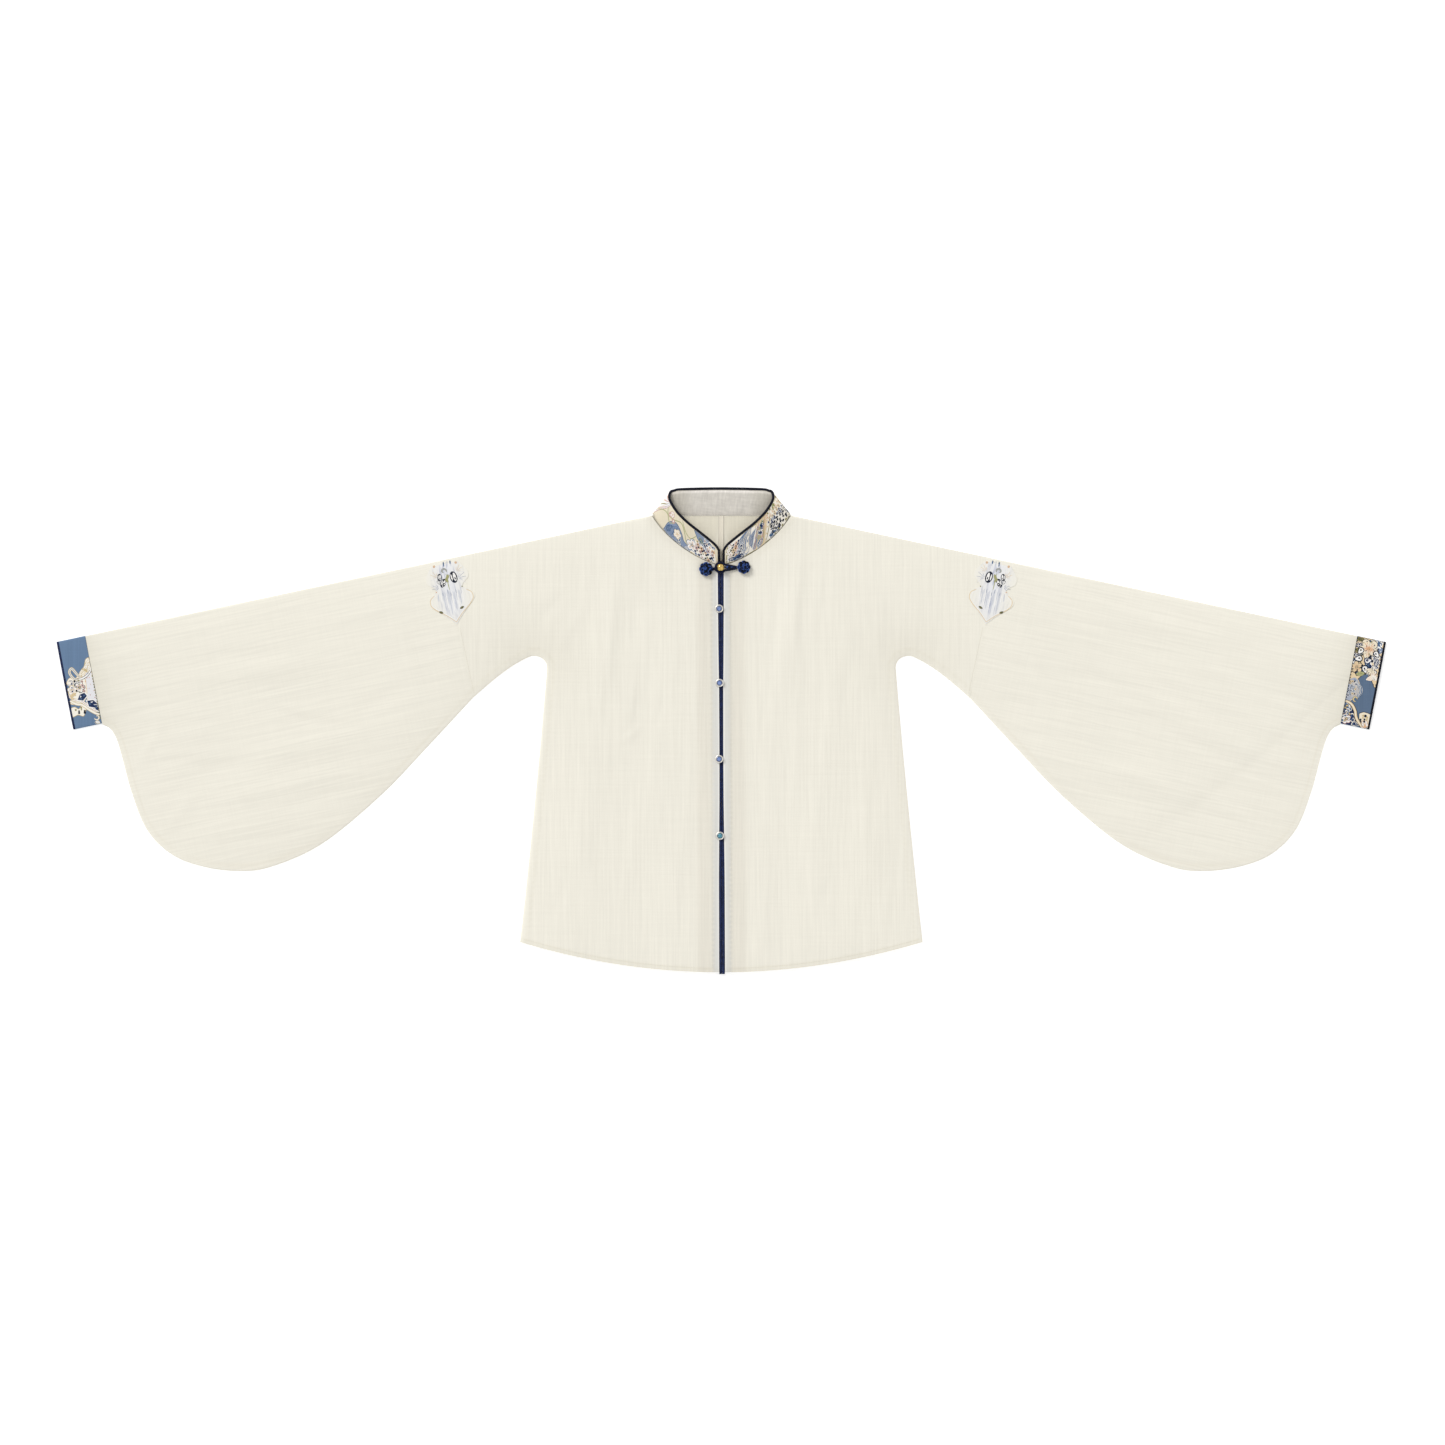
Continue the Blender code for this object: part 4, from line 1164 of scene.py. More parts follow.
@dataclass
class Body:
    """Fronts and backs with the cut-on upper sleeves."""

    wall: float = 0.0009
    step: float = 0.0042
    back_step: float = 0.008
    edge_foot: float = 0.0021
    strip_reach: float = 0.0126
    facing_reach: float = 0.0335
    allowance: float = 0.0100
    seam_strip_width: float = 0.0084
    edges: FrontEdges = field(default_factory=FrontEdges)

    def ring(self, neck: Array, side: Side, detail: int, hem_end: float) -> Array:
        """Plan ring of a panel from its neck seam to its hem's inner end.

        Args:
            neck: Its neck seam, from the centre out, on the wearer's left.
            side: Which side of the body it lies on.
            detail: How fine the ring is.
            hem_end: Distance of the hem's inner end from the centre.

        Returns:
            The ring's corners, without its centre edge.
        """
        shoulder = FORM.on_sleeve(np.linspace(0.0, FORM.body_seam_along, 24 * detail)[1:-1], 0.0)
        deep = np.linspace(0.0, FORM.body_seam_deep, 16 * detail)[:-1]
        seam = FORM.on_sleeve(FORM.body_seam_along, deep)
        hem_x = np.linspace(FORM.hem_half_width, hem_end, 22 * detail)[1:]
        hem = np.column_stack([hem_x, FORM.hem_y(hem_x)])
        half = np.vstack([neck, shoulder, seam, FORM.underarm_line(2 * detail), hem])
        return half * np.array((side.value, 1.0))

    def front_ring(self, side: Side) -> Array:
        """Plan ring of one front panel."""
        ys = np.linspace(FORM.hem_y(0.006), FORM.front_neck_y + 0.0012, 130)
        edge = side.value * (1.5 * SEAM_GAP + FORM.binding_width(ys))
        centre = np.column_stack([FORM.centre_x(ys) + edge, ys])
        return np.vstack([self.ring(FORM.front_neck(34)[1:], side, 3, 0.009), centre])

    def front_tones(self, plan: Array) -> Array:
        """Tones of a front: facing, seam allowances and hem show faintly through it; a pale line runs
        beside the binding and it is darker by the neck seam; painted shade lies along the shoulder fold and
        round the underarm, and painted light along the side seam offsets the shade of its rounded edge.

        Args:
            plan: Plan points.

        Returns:
            Three factors for each point.
        """
        half = mirrored(plan)
        across = np.abs(plan[:, 0] - FORM.centre_x(plan[:, 1]))
        side_seam = distance_to_line(half, FORM.underarm_line(2))
        fold = distance_to_line(half, FORM.on_sleeve(np.array((0.0, 0.3)), 0.0))
        from_seam = distance_to_line(half, FORM.body_seam())
        from_neck = distance_to_line(half, FORM.front_neck(30))
        above_hem = plan[:, 1] - FORM.hem_y(half[:, 0])
        from_binding = across - FORM.binding_width(plan[:, 1])
        # Painted shade round the underarm, below the shoulder patch.
        underarm_shade = bell(half[:, 0] - 0.262, 0.06) * bell(plan[:, 1] - 0.10, 0.05)
        # In the rows below, the lightening along the side seam is painted light that offsets its rounded
        # edge's shade, and the darkening along the shoulder fold and round the underarm is painted shade.
        return shaded_tones(
            len(plan),
            (fall(across, self.facing_reach, 0.0016), (0.034, 0.038, 0.041)),
            (fall(across, self.strip_reach, 0.0007), (0.050, 0.034, 0.002)),
            (bell(across - self.strip_reach, 0.0011), (0.032, 0.032, 0.036)),
            (bell(from_binding - 0.0012, 0.0009), (-0.10, -0.10, -0.11)),
            (bell(side_seam, 0.0018), (-0.030, -0.030, -0.030)),
            (bell(fold, 0.0012), (0.015, 0.012, 0.012)),
            (bell(side_seam - self.allowance, 0.0016), (0.016, 0.018, 0.024)),
            (fall(above_hem, 0.0065, 0.0006), (0.012, 0.014, 0.020)),
            (bell(above_hem - 0.0072, 0.0010), (0.012, 0.012, 0.014)),
            (bell(from_seam, 0.0016), (0.005, 0.005, 0.006)),
            (bell(from_neck, 0.009), (0.030, 0.034, 0.040)),
            (underarm_shade, (0.020, 0.022, 0.026)),
        )

    def relief(self, plan: Array) -> Array:
        """Height that hem, seams and facing add to a front."""
        across = np.abs(plan[:, 0] - FORM.centre_x(plan[:, 1]))
        above_hem = plan[:, 1] - FORM.hem_y(np.abs(plan[:, 0]))
        half = mirrored(plan)
        side_seam = distance_to_line(half, FORM.underarm_line(2))
        hem = 0.00025 * fall(above_hem, 0.0070, 0.0010)
        strip = 0.00040 * fall(across, self.strip_reach, 0.0008)
        allowance = fall(side_seam, self.allowance, 0.0010) * np.clip(side_seam / 0.004, 0.0, 1.0)
        return hem + strip + 0.00030 * allowance

    def build(self) -> None:
        strip = self.build_seam_strip()
        for side in Side:
            self.build_back(side)
        for side in Side:
            self.build_front(side)
        self.edges.build_strip()

    def build_back(self, side: Side) -> None:
        """Make one back panel, flat on the surface.

        Args:
            side: Which back.
        """
        neck_x = np.linspace(SEAM_GAP / 2, FORM.neck_point_x, 12)
        neck = np.column_stack([neck_x, np.full(12, FORM.neck_y)])
        ring = self.ring(neck, side, 2, SEAM_GAP / 2)
        plan, faces = fill_plan(ring, self.back_step, (0.004,))
        points = np.column_stack([plan, PANEL_WALL + FORM.underside(plan)])
        shell = closed_shell(points, faces, PANEL_WALL)
        shell[0][:, 2] = np.maximum(shell[0][:, 2], 0.0)
        piece = mesh_piece(f"back_{side.word}_cotton", *shell, [BODY_COTTON])
        # Painted shade darkens the back inside the neck opening, and the seam lines beside the centre strip
        # show only there.
        neck_shade = np.clip((plan[:, 1] - 0.215) / 0.06, 0.0, 1.0)
        seam = bell(np.abs(plan[:, 0]) - self.seam_strip_width / 2, 0.0016) * neck_shade
        # Painted light brightens the gap between the collar's fronts.
        gap_light = bell(plan[:, 0], 0.009) * bell(plan[:, 1] - 0.242, 0.012)
        tones = 1.0 - neck_shade[:, None] * np.array((0.055, 0.065, 0.090)) - seam[:, None] * 0.04
        tones = tones + 0.22 * gap_light[:, None]
        paint_tone(piece, tones)
        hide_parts(f"back_{side.word}")
        size, area = np.ptp(ring, axis=0), abs(ring_area(ring))

    def build_front(self, side: Side) -> None:
        """Make one front panel, lofted over the back, with its binding and stitching."""
        ring = self.front_ring(side)
        plan, faces = fill_plan(ring, self.step, (0.0004, 0.0010, 0.0022, 0.0045))
        heights = FORM.height(plan, foot=self.edge_foot) + self.relief(plan)
        shell = closed_shell(np.column_stack([plan, heights]), faces, self.wall)
        piece = mesh_piece(f"front_{side.word}_cotton", *shell, [BODY_COTTON])
        paint_tone(piece, self.front_tones(plan))
        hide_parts(f"front_{side.word}")
        abs(ring_area(ring))
        self.stitch_front(side)
        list(self.edges.build_binding(side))

    def stitch_front(self, side: Side) -> Piece:
        """Sew the hem, the facing and the lower part of the sleeve seam."""
        batch = MeshBatch()
        hem_x = side.value * np.linspace(0.008, FORM.hem_half_width - 0.004, 60)
        hem_y = FORM.hem_y(np.abs(hem_x)) + 0.0058
        front_y = np.linspace(FORM.hem_y(0.0) + 0.004, FORM.front_neck_y - 0.004, 80)
        front_x = FORM.centre_x(front_y) + side.value * (self.strip_reach + 0.001)
        deep = np.linspace(0.096, FORM.body_seam_deep - 0.003, 40)
        seam = FORM.on_sleeve(FORM.body_seam_along - 0.003, deep, side.value)
        for plan in (np.column_stack([hem_x, hem_y]), np.column_stack([front_x, front_y]), seam):
            heights = FORM.height(plan) + self.relief(plan)
            Stitching().sew(batch, np.column_stack([plan, heights]), SEWING_THREAD)
        return batch.build(f"front_{side.word}_stitches", "cotton")

    def build_seam_strip(self) -> Piece:
        """Lay the pressed-open seam allowance down the inside of the back."""
        ys = np.linspace(FORM.neck_y - 0.0008, FORM.hem_y(0.0) + 0.010, 120)
        xs = np.array((-1.0, -0.82, -0.40, -0.08, 0.0, 0.08, 0.40, 0.82, 1.0))
        lift = np.array((0.05, 0.42, 0.48, 0.42, 0.16, 0.42, 0.48, 0.42, 0.05)) * MM
        half = self.seam_strip_width / 2
        points = np.array([(half * x, y, PANEL_WALL + z) for y in ys[::-1] for x, z in zip(xs, lift)])
        faces = [face[::-1] for face in grid_faces(len(ys), len(xs))]
        piece = mesh_piece("back_seam_allowance", points, faces, [BODY_COTTON])
        tones = np.full((len(points), 3), 0.99)
        tones[np.abs(points[:, 0]) > 0.8 * half] = 0.84
        tones[np.abs(points[:, 0]) < 0.05 * half] = 0.87
        paint_tone(piece, tones * np.array((1.0, 0.985, 0.965)))
        return piece


@dataclass(frozen=True)
class Motif:
    """One printed figure: its kind, place in millimetres, size, turn in degrees and colours."""

    kind: str
    u: float
    v: float
    size: float
    turn: float
    fill: Ink
    line: Ink


def spun(shape: Array, degrees: float) -> Array:
    """Turn flat points about the origin."""
    angle = math.radians(degrees)
    return shape @ np.array(((math.cos(angle), math.sin(angle)), (-math.sin(angle), math.cos(angle))))


def oval(long: float, wide: float, count: int = 12) -> Array:
    """Corners of an oval about the origin."""
    t = np.linspace(0.0, 2 * math.pi, count, endpoint=False)
    return np.column_stack([long * np.cos(t), wide * np.sin(t)])


class PrintLayer:
    """Draws printed figures on a curved band of cloth, each a hair above the one before.

    The band is given by a function that turns millimetres along and across it, and a height above
    the cloth, into points.
    """

    first_lift = 0.07 * MM
    step_lift = 0.002 * MM
    levels = 3
    strewn_layers = 4

    def __init__(self, on_band: Callable[[Array, float], Array]) -> None:
        """Remember how the band maps and start an empty mesh."""
        self.on_band = on_band
        self.batch = MeshBatch()
        self.depth = 0

    def lay(self, flat: Array, faces: Faces, ink: Ink, level: int) -> None:
        """Lay a flat mesh on the band with its faces up.

        Args:
            flat: Points in millimetres along and across.
            faces: Its faces.
            ink: Its colour.
            level: How many hairs it lies above its figure's first layer.
        """
        points = self.on_band(flat, self.first_lift + self.step_lift * (self.depth + level))
        corners = points[[face[:3] for face in faces]]
        turn = np.cross(corners[:, 1] - corners[:, 0], corners[:, 2] - corners[:, 0])
        if turn[:, 2].sum() < 0:
            faces = [face[::-1] for face in faces]
        self.batch.add((points, faces), ink_finish(ink))

    def shape(self, outline: Array, ink: Ink, level: int = 0) -> None:
        """Print one filled outline that its middle sees whole."""
        middle = outline.mean(axis=0)
        count = len(outline)
        inner = middle + (outline - middle) * 0.5
        faces = grid_faces(2, count, around=True)
        faces += [[count + step, count + (step + 1) % count, 2 * count] for step in range(count)]
        self.lay(np.vstack([outline, inner, middle[None]]), faces, ink, level)

    def stroke(self, rows: Array, width: float, ink: Ink, level: int = 0, taper: float = 0.7) -> None:
        """Print one line that narrows towards its ends.

        Args:
            rows: Points that it passes, in millimetres.
            width: Its greatest width.
            ink: Its colour.
            level: How many hairs it lies above its figure's first layer.
            taper: Share of the width that it loses at its ends.
        """
        count = 6 if len(rows) < 3 else 10 * len(rows)
        path = even_steps(rows, count)
        reach = 0.5 * width * (1.0 - taper * np.linspace(-1.0, 1.0, count) ** 4)
        across = left_of(unit(np.gradient(path, axis=0))) * reach[:, None]
        self.lay(np.vstack([path + across, path - across]), grid_faces(2, count), ink, level)

    def ribbon(self, rows: list, width: float, fill: Ink, line: Ink, middle: Ink | None = None) -> None:
        """Print a curving ribbon with an outline and, if named, a middle line."""
        self.stroke(np.array(rows), width + 1.3, line, 0, 0.3)
        self.stroke(np.array(rows), width, fill, 1, 0.35)
        if middle:
            self.stroke(np.array(rows), 0.7, middle, 2, 0.3)
        self.depth += self.levels

    def strokes(self, *lines: tuple[list, float, Ink]) -> None:
        """Print lines at one depth, each by its places, width and colour."""
        for rows, width, ink in lines:
            self.stroke(np.array(rows), width, ink)
        self.depth += self.levels

    def patch(self, rows: list, fill: Ink, line: Ink | None = None) -> None:
        """Print a wide patch with a smooth outline through rows of millimetres."""
        smooth = through([*rows, rows[0]], 6)[:-1]
        if line:
            edge = np.vstack([smooth, smooth[:2]])
            self.stroke(edge, 1.6, line, 0, 0.0)
        plan, faces = fill_plan(smooth, 3.0, (1.0,))
        self.lay(plan, faces, fill, 1)
        self.depth += self.levels

    def draw(self, *rows: tuple) -> None:
        """Print motifs by their kinds, in order."""
        for row in rows:
            motif = Motif(*row)
            getattr(self, motif.kind)(motif)
            self.depth += self.levels

    def strew(self, low: tuple, high: tuple, count: int, menu: tuple) -> None:
        """Strew small figures evenly over a zone, in a fixed but irregular order.

        Args:
            low: Lowest millimetres along and across.
            high: Highest ones.
            count: How many figures.
            menu: Kind, size, fill and line of the figures, taken in turn.
        """
        start = self.depth
        for number in range(count):
            shares = np.array([(0.5 + step * number) % 1.0 for step in UNEVEN_STEPS])
            u, v = low + shares * (np.array(high) - low)
            kind, size, fill, line = menu[number % len(menu)]
            self.depth = start + self.levels * (number % self.strewn_layers)
            size *= 0.8 + 0.4 * ((GOLDEN_STEP * number) % 1.0)
            self.draw((kind, u, v, size, GOLDEN_TURN * number, fill, line))
        self.depth = start + self.levels * (self.strewn_layers + 1)

    def placed(self, motif: Motif, shape: Array) -> Array:
        """Turn, scale and place a unit shape."""
        return spun(np.asarray(shape, float), motif.turn) * motif.size + (motif.u, motif.v)

    def put(self, motif: Motif, outline: Array, ink: Ink, level: int = 0) -> None:
        """Print an outline where a motif stands."""
        self.shape(self.placed(motif, outline), ink, level)

    def line(self, motif: Motif, rows: Array, width: float, ink: Ink, level: int = 0) -> None:
        """Print a line where a motif stands."""
        self.stroke(self.placed(motif, rows), width, ink, level)

    def build_up(self, motif: Motif, *parts: tuple[Array, Ink]) -> None:
        """Print a motif's outlines, each a level above the one before."""
        for level, (outline, ink) in enumerate(parts):
            self.put(motif, outline, ink, level)

    def leaf(self, motif: Motif) -> None:
        """A pointed leaf with a rib and side veins."""
        t = np.linspace(0.0, 1.0, 9)
        wide = 0.27 * np.sin(math.pi * t) ** 0.8
        body = np.vstack([np.column_stack([t, wide]), np.column_stack([t, -0.8 * wide])[-2:0:-1]])
        grown = (body - (0.5, 0.0)) * (1.0 + 1.6 / motif.size) + (0.5, 0.0)
        self.build_up(motif, (grown, motif.line), (body, motif.fill))
        veins = [[(0.04, 0.0), (0.5, 0.03), (0.96, 0.0)]]
        veins += [[(s, 0.02), (s + 0.17, f * 0.17)] for s in (0.22, 0.42, 0.6) for f in (1, -1)]
        for vein in veins:
            self.line(motif, vein, 0.045 * motif.size, motif.line, 2)

    def plume(self, motif: Motif) -> None:
        """A tall, bending feather shape with lines that follow its edge."""
        t = np.linspace(0.0, 1.0, 12)
        spine = np.column_stack([t, 0.16 * np.sin(math.pi * t)])
        wide = np.column_stack([np.zeros(12), 0.19 * np.sin(math.pi * t**0.8)])
        for share, ink, level in ((1.0 + 2.4 / motif.size, motif.line, 0), (1.0, motif.fill, 1)):
            body = np.vstack([spine + share * wide, (spine - share * wide)[-2:0:-1]])
            self.put(motif, body, ink, level)
        for share in (-0.6, -0.2, 0.25, 0.65):
            line = (spine + share * wide)[1:-1:3]
            self.line(motif, line, 0.022 * motif.size, motif.line, 2)

    def drop(self, motif: Motif) -> None:
        """A small drop with a glint."""
        body = oval(0.5, 0.33, 10)
        body[:, 1] *= 1.0 - body[:, 0]
        glint = body * 0.35 + (-0.12, 0.05)
        self.build_up(motif, (body * 1.35, motif.line), (body, motif.fill), (glint, motif.line))

    def dot(self, motif: Motif) -> None:
        """A round dot."""
        self.build_up(motif, (oval(0.5, 0.5, 8), motif.fill))

    def chip(self, motif: Motif) -> None:
        """A five-cornered chip of colour with a pale edge."""
        body = np.array([(0.5, 0.05), (0.12, 0.42), (-0.45, 0.25), (-0.38, -0.30), (0.20, -0.36)])
        self.build_up(motif, (body * 1.4, motif.line), (body, motif.fill))

    def facet(self, motif: Motif) -> None:
        """A dark lozenge cut into lighter facets."""
        body = np.array([(0.55, 0.0), (0.10, 0.38), (-0.50, 0.16), (-0.42, -0.26), (0.08, -0.34)])
        self.build_up(motif, (body * 1.25, motif.line), (body, motif.fill))
        for cut, ink in ((((0.38, 0.03), (0.12, 0.24), (0.06, 0.06)), SLATE),
                         (((-0.10, 0.02), (-0.38, 0.08), (-0.28, -0.12)), SLATE),
                         (((0.04, -0.06), (0.24, -0.04), (0.04, -0.24)), WHITE)):
            self.put(motif, cut, ink, 2)

    def bud(self, motif: Motif) -> None:
        """A dark-edged bud of two pale petals."""
        self.put(motif, oval(0.5, 0.31), motif.line)
        for long, wide, u, v in ((0.37, 0.125, 0.0, 0.085), (0.28, 0.06, -0.03, -0.165)):
            self.put(motif, oval(long, wide, 10) + (u, v), motif.fill, 1)
        self.put(motif, oval(0.12, 0.05, 8) + (0.12, 0.09), motif.line, 2)

    def blossom(self, motif: Motif) -> None:
        """A five-petalled blossom with lined petals and a ringed centre."""
        for petal in range(5):
            body = oval(0.27, 0.20)
            body[:, 1] *= 1.0 + 0.6 * body[:, 0]
            body = spun(body + (0.27, 0.0), 72 * petal + 11)
            middle = body.mean(axis=0)
            grown = middle + (body - middle) * (1.0 + 3.2 / motif.size)
            self.build_up(motif, (grown, motif.line), (body, motif.fill))
            for swing in (-9, 9):
                line = spun(np.array([(0.12, 0.0), (0.40, 0.0)]), 72 * petal + 11 + swing)
                self.line(motif, line, 0.04 * motif.size, PEACH, 2)
        self.put(motif, oval(0.13, 0.13, 8), motif.line, 2)
        self.put(motif, oval(0.08, 0.08, 8), SAND, 3)

    def rosette(self, motif: Motif) -> None:
        """A tiny flower of six dots round a seventh."""
        for petal in range(6):
            spot = spun(oval(0.19, 0.15, 7) + (0.33, 0.0), 60 * petal)
            self.put(motif, spot, motif.fill, 1)
        self.put(motif, oval(0.17, 0.17, 7), motif.line, 2)

    def fan(self, motif: Motif) -> None:
        """A half-open bloom of narrow petals."""
        t = np.linspace(0.0, 1.0, 7)
        wide = 0.12 * np.sin(math.pi * t**0.8)
        body = np.vstack([np.column_stack([t, wide]), np.column_stack([t, -wide])[-2:0:-1]])
        grown = (body - (0.5, 0.0)) * (1.0 + 1.2 / motif.size) + (0.5, 0.0)
        for petal in range(5):
            turn = 24 * petal - 48
            self.build_up(motif, (spun(grown, turn), motif.line), (spun(body * 0.94, turn), motif.fill))

    def scroll(self, motif: Motif) -> None:
        """A curling tendril."""
        t = np.linspace(0.0, 1.6 * math.pi, 8)
        reach = 0.5 * (1.0 - 0.55 * t / t[-1])
        curl = np.column_stack([reach * np.cos(t), reach * np.sin(t)])
        self.line(motif, curl, 0.9 + 0.16 * motif.size, motif.line)
        self.line(motif, curl, 0.2 + 0.11 * motif.size, motif.fill, 1)

    def tuft(self, motif: Motif) -> None:
        """A spray of fine strokes."""
        for blade in range(9):
            reach = 0.7 + 0.3 * math.cos(2.4 * blade)
            rows = spun(np.array([(0.15, 0.0), (0.55, 0.04), (1.0, -0.02)]) * reach, 15 * blade - 60)
            self.line(motif, rows, 0.5, (motif.fill, motif.line)[blade % 2])


@dataclass
class CuffPrint:
    """Flower sprays on a cuff, differently placed on each.

    Millimetres run from the cuff seam outwards and from the fold down.
    """

    side: Side
    edge_foot: float = 0.00135

    def on_cuff(self, flat: Array, lift: float) -> Array:
        """Points on the cuff's upper face, from millimetres and a height above it."""
        along = np.clip(flat[:, 0], 0.2, 38.0) * MM
        deep = np.clip(flat[:, 1], 0.3, 124.7) * MM
        lean = FORM.cuff_lean * deep / FORM.cuff_deep
        plan = FORM.on_sleeve(FORM.cuff_seam_along + along + lean, deep, self.side.value)
        heights = FORM.height(plan, foot=self.edge_foot)
        return np.column_stack([plan, heights + lift])

    def build(self) -> Piece:
        """Print the cuff and return the piece with the print."""
        layer = PrintLayer(self.on_cuff)
        if self.side is Side.RIGHT:
            self.right_cuff(layer)
        else:
            self.left_cuff(layer)
        return layer.batch.build(f"cuff_{self.side.word}_flowers", "print")

    def right_cuff(self, layer: PrintLayer) -> None:
        """A cream spray low on a mostly plain slate ground."""
        layer.patch([(0, 31), (5, 33), (9, 42), (15, 48), (12, 58), (0, 60)], CREAM, OCHRE)
        layer.patch([(0, 52), (8, 51), (13, 60), (12, 76), (13, 88), (5, 93), (0, 92)], LILAC, SAND)
        layer.patch([(11, 60), (18, 54), (26, 57), (32, 54), (37, 60), (34, 67), (38, 75), (35, 84),
                     (37, 89), (30, 91), (20, 90), (13, 80)], CREAM, SAND)
        layer.patch([(18, 101), (23, 96), (28, 99), (33, 95), (39, 97), (39, 107), (30, 106), (23, 109)],
                    CREAM, OCHRE)
        layer.ribbon([(0, 33), (6, 41), (14, 50), (23, 57)], 3.4, WHITE, OCHRE, SAND)
        layer.ribbon([(1, 49), (8, 55), (17, 58), (24, 57)], 2.2, WHITE, COAL)
        layer.ribbon([(17, 57), (22, 49), (27, 41), (31, 46), (27, 55), (20, 59)], 2.4, CREAM, OCHRE, SLATE)
        layer.ribbon([(38, 78), (31, 85), (23, 88), (15, 96), (8, 104), (0, 107)], 3.0, WHITE, OCHRE, ROSE)
        layer.ribbon([(38, 85), (30, 91), (22, 94), (14, 102), (6, 109), (0, 112)], 2.6, CREAM, OCHRE)
        layer.draw(
            ("leaf", 2, 38, 13, 62, WHITE, OCHRE),
            ("leaf", 9, 45, 12, 40, CREAM, OCHRE),
            ("fan", 21, 59, 10, 60, CREAM, OCHRE),
            ("scroll", 33, 60, 9, 30, WHITE, COAL),
            ("scroll", 25, 64, 8, 120, WHITE, COAL),
            ("blossom", 21, 69, 14, 15, WHITE, COAL),
            ("blossom", 32, 71, 12, 40, WHITE, OCHRE),
            ("facet", 20, 83, 13.5, 20, NAVY, WHITE),
            ("facet", 8, 95, 15, -42, NAVY, WHITE),
            ("facet", 1, 102, 11, -50, NAVY, WHITE),
            ("scroll", 32, 81, 8, 200, SAND, OCHRE),
            ("leaf", 28, 76, 8, 20, SAND, OCHRE),
            ("scroll", 5, 115, 8, 10, WHITE, OCHRE),
            ("fan", 4, 120, 6, 60, WHITE, OCHRE),
        )
        layer.strew((15, 58), (36, 77), 15, (("dot", 2.6, COAL, COAL), ("dot", 2.0, OLIVE, OLIVE),
                                             ("rosette", 4.0, ROSE, NAVY), ("chip", 2.6, NAVY, WHITE)))
        layer.strew((20, 97), (36, 106), 7, (("dot", 3.2, COAL, COAL), ("dot", 2.4, OLIVE, OLIVE)))
        layer.strew((2, 56), (14, 90), 9, (("dot", 1.5, ROSE, ROSE), ("dot", 1.3, PEACH, PEACH)))
        self.seam_dashes(layer, 56, 120, OLIVE)

    def seam_dashes(self, layer: PrintLayer, first: int, last: int, ink: Ink) -> None:
        """Print a broken line along the cuff seam between two places in millimetres."""
        for v in range(first, last, 4):
            layer.stroke(np.array([(0.7, v), (0.8, v + 2.4)]), 1.0, ink)
        layer.depth += layer.levels

    def left_cuff(self, layer: PrintLayer) -> None:
        """A dense spray by the fold, plain slate below it and a peach ribbon at the foot."""
        layer.patch([(0, 0.5), (20, 0.5), (38, 0.5), (38, 30), (38, 64), (33, 60), (25, 47),
                     (18, 50), (10, 60), (0, 60)], SAND, COAL)
        layer.patch([(0, 62), (8, 58), (15, 66), (13, 78), (9, 88), (0, 92)], GREY, SAND)
        layer.patch([(-2, 92), (9, 97), (14, 106), (20, 120), (12, 127), (-2, 127)], NAVY, COAL)
        layer.patch([(23, 106), (30, 103), (41, 107), (41, 127), (30, 127), (25, 116)], IVORY, COAL)
        layer.strew((1, 2), (37, 52), 58, (
            ("chip", 6.5, NAVY, WHITE), ("leaf", 9.0, OLIVE, COAL), ("chip", 5.5, SLATE, COAL),
            ("drop", 6.0, CREAM, NAVY), ("chip", 5.5, COAL, CREAM), ("leaf", 9.5, SLATE, COAL),
            ("chip", 5.0, SAND, COAL), ("drop", 5.5, NAVY, WHITE)))
        layer.draw(
            ("leaf", -1, 3, 15, 10, OLIVE, COAL),
            ("leaf", -1, 8, 14, 14, SAND, NAVY),
            ("leaf", -1, 13, 15, -6, NAVY, CREAM),
            ("leaf", -1, 20, 13, -10, OLIVE, COAL),
            ("leaf", -1, 26, 12, 12, NAVY, WHITE),
            ("facet", 32, 5, 12, 60, SLATE, WHITE),
            ("facet", 35, 14, 9, 100, DUSK, COAL),
            ("blossom", 19, 15, 27, 8, IVORY, COAL),
            ("fan", 19, 12, 10, 70, PEACH, CREAM),
            ("fan", 19, 17, 9, -110, PEACH, CREAM),
            ("drop", 8, 20, 9.0, 120, WHITE, COAL),
            ("drop", 31, 20, 8.5, 40, WHITE, COAL),
            ("drop", 21, 31, 9.0, -20, WHITE, NAVY),
            ("drop", 7, 31, 9.5, 160, WHITE, COAL),
            ("drop", 2, 37, 7, 200, WHITE, NAVY),
            ("leaf", 34, 25, 14, 95, NAVY, WHITE),
            ("blossom", 7, 43, 15, 25, SAND, COAL),
            ("leaf", 8, 53, 12, -20, SAGE, OLIVE),
            ("drop", 19, 44, 9.5, 70, WHITE, COAL),
            ("fan", 29, 41, 12, 110, IVORY, COAL),
            ("plume", 23, 58, 17, -50, CREAM, PEACH),
            ("fan", 32, 56, 10, -60, CREAM, ROSE),
            ("plume", 14, 88, 29, -104, SLATE, CREAM),
            ("plume", 8, 88, 25, -95, GREY, SAND),
            ("plume", 4, 84, 20, -92, SLATE, CREAM),
            ("scroll", 14, 87, 8, 80, SAND, OLIVE),
            ("facet", 3, 99, 10, 30, SLATE, WHITE),
            ("facet", 2, 107, 9, 80, NAVY, SAND),
            ("facet", 14, 114, 11, 60, NAVY, CREAM),
            ("blossom", 6, 117, 12, 20, WHITE, ROSE),
            ("facet", 20, 122, 9, 0, NAVY, CREAM),
            ("blossom", 33, 119, 9, 0, WHITE, PEACH),
            ("dot", 34, 122, 4, 0, PEACH, PEACH),
        )
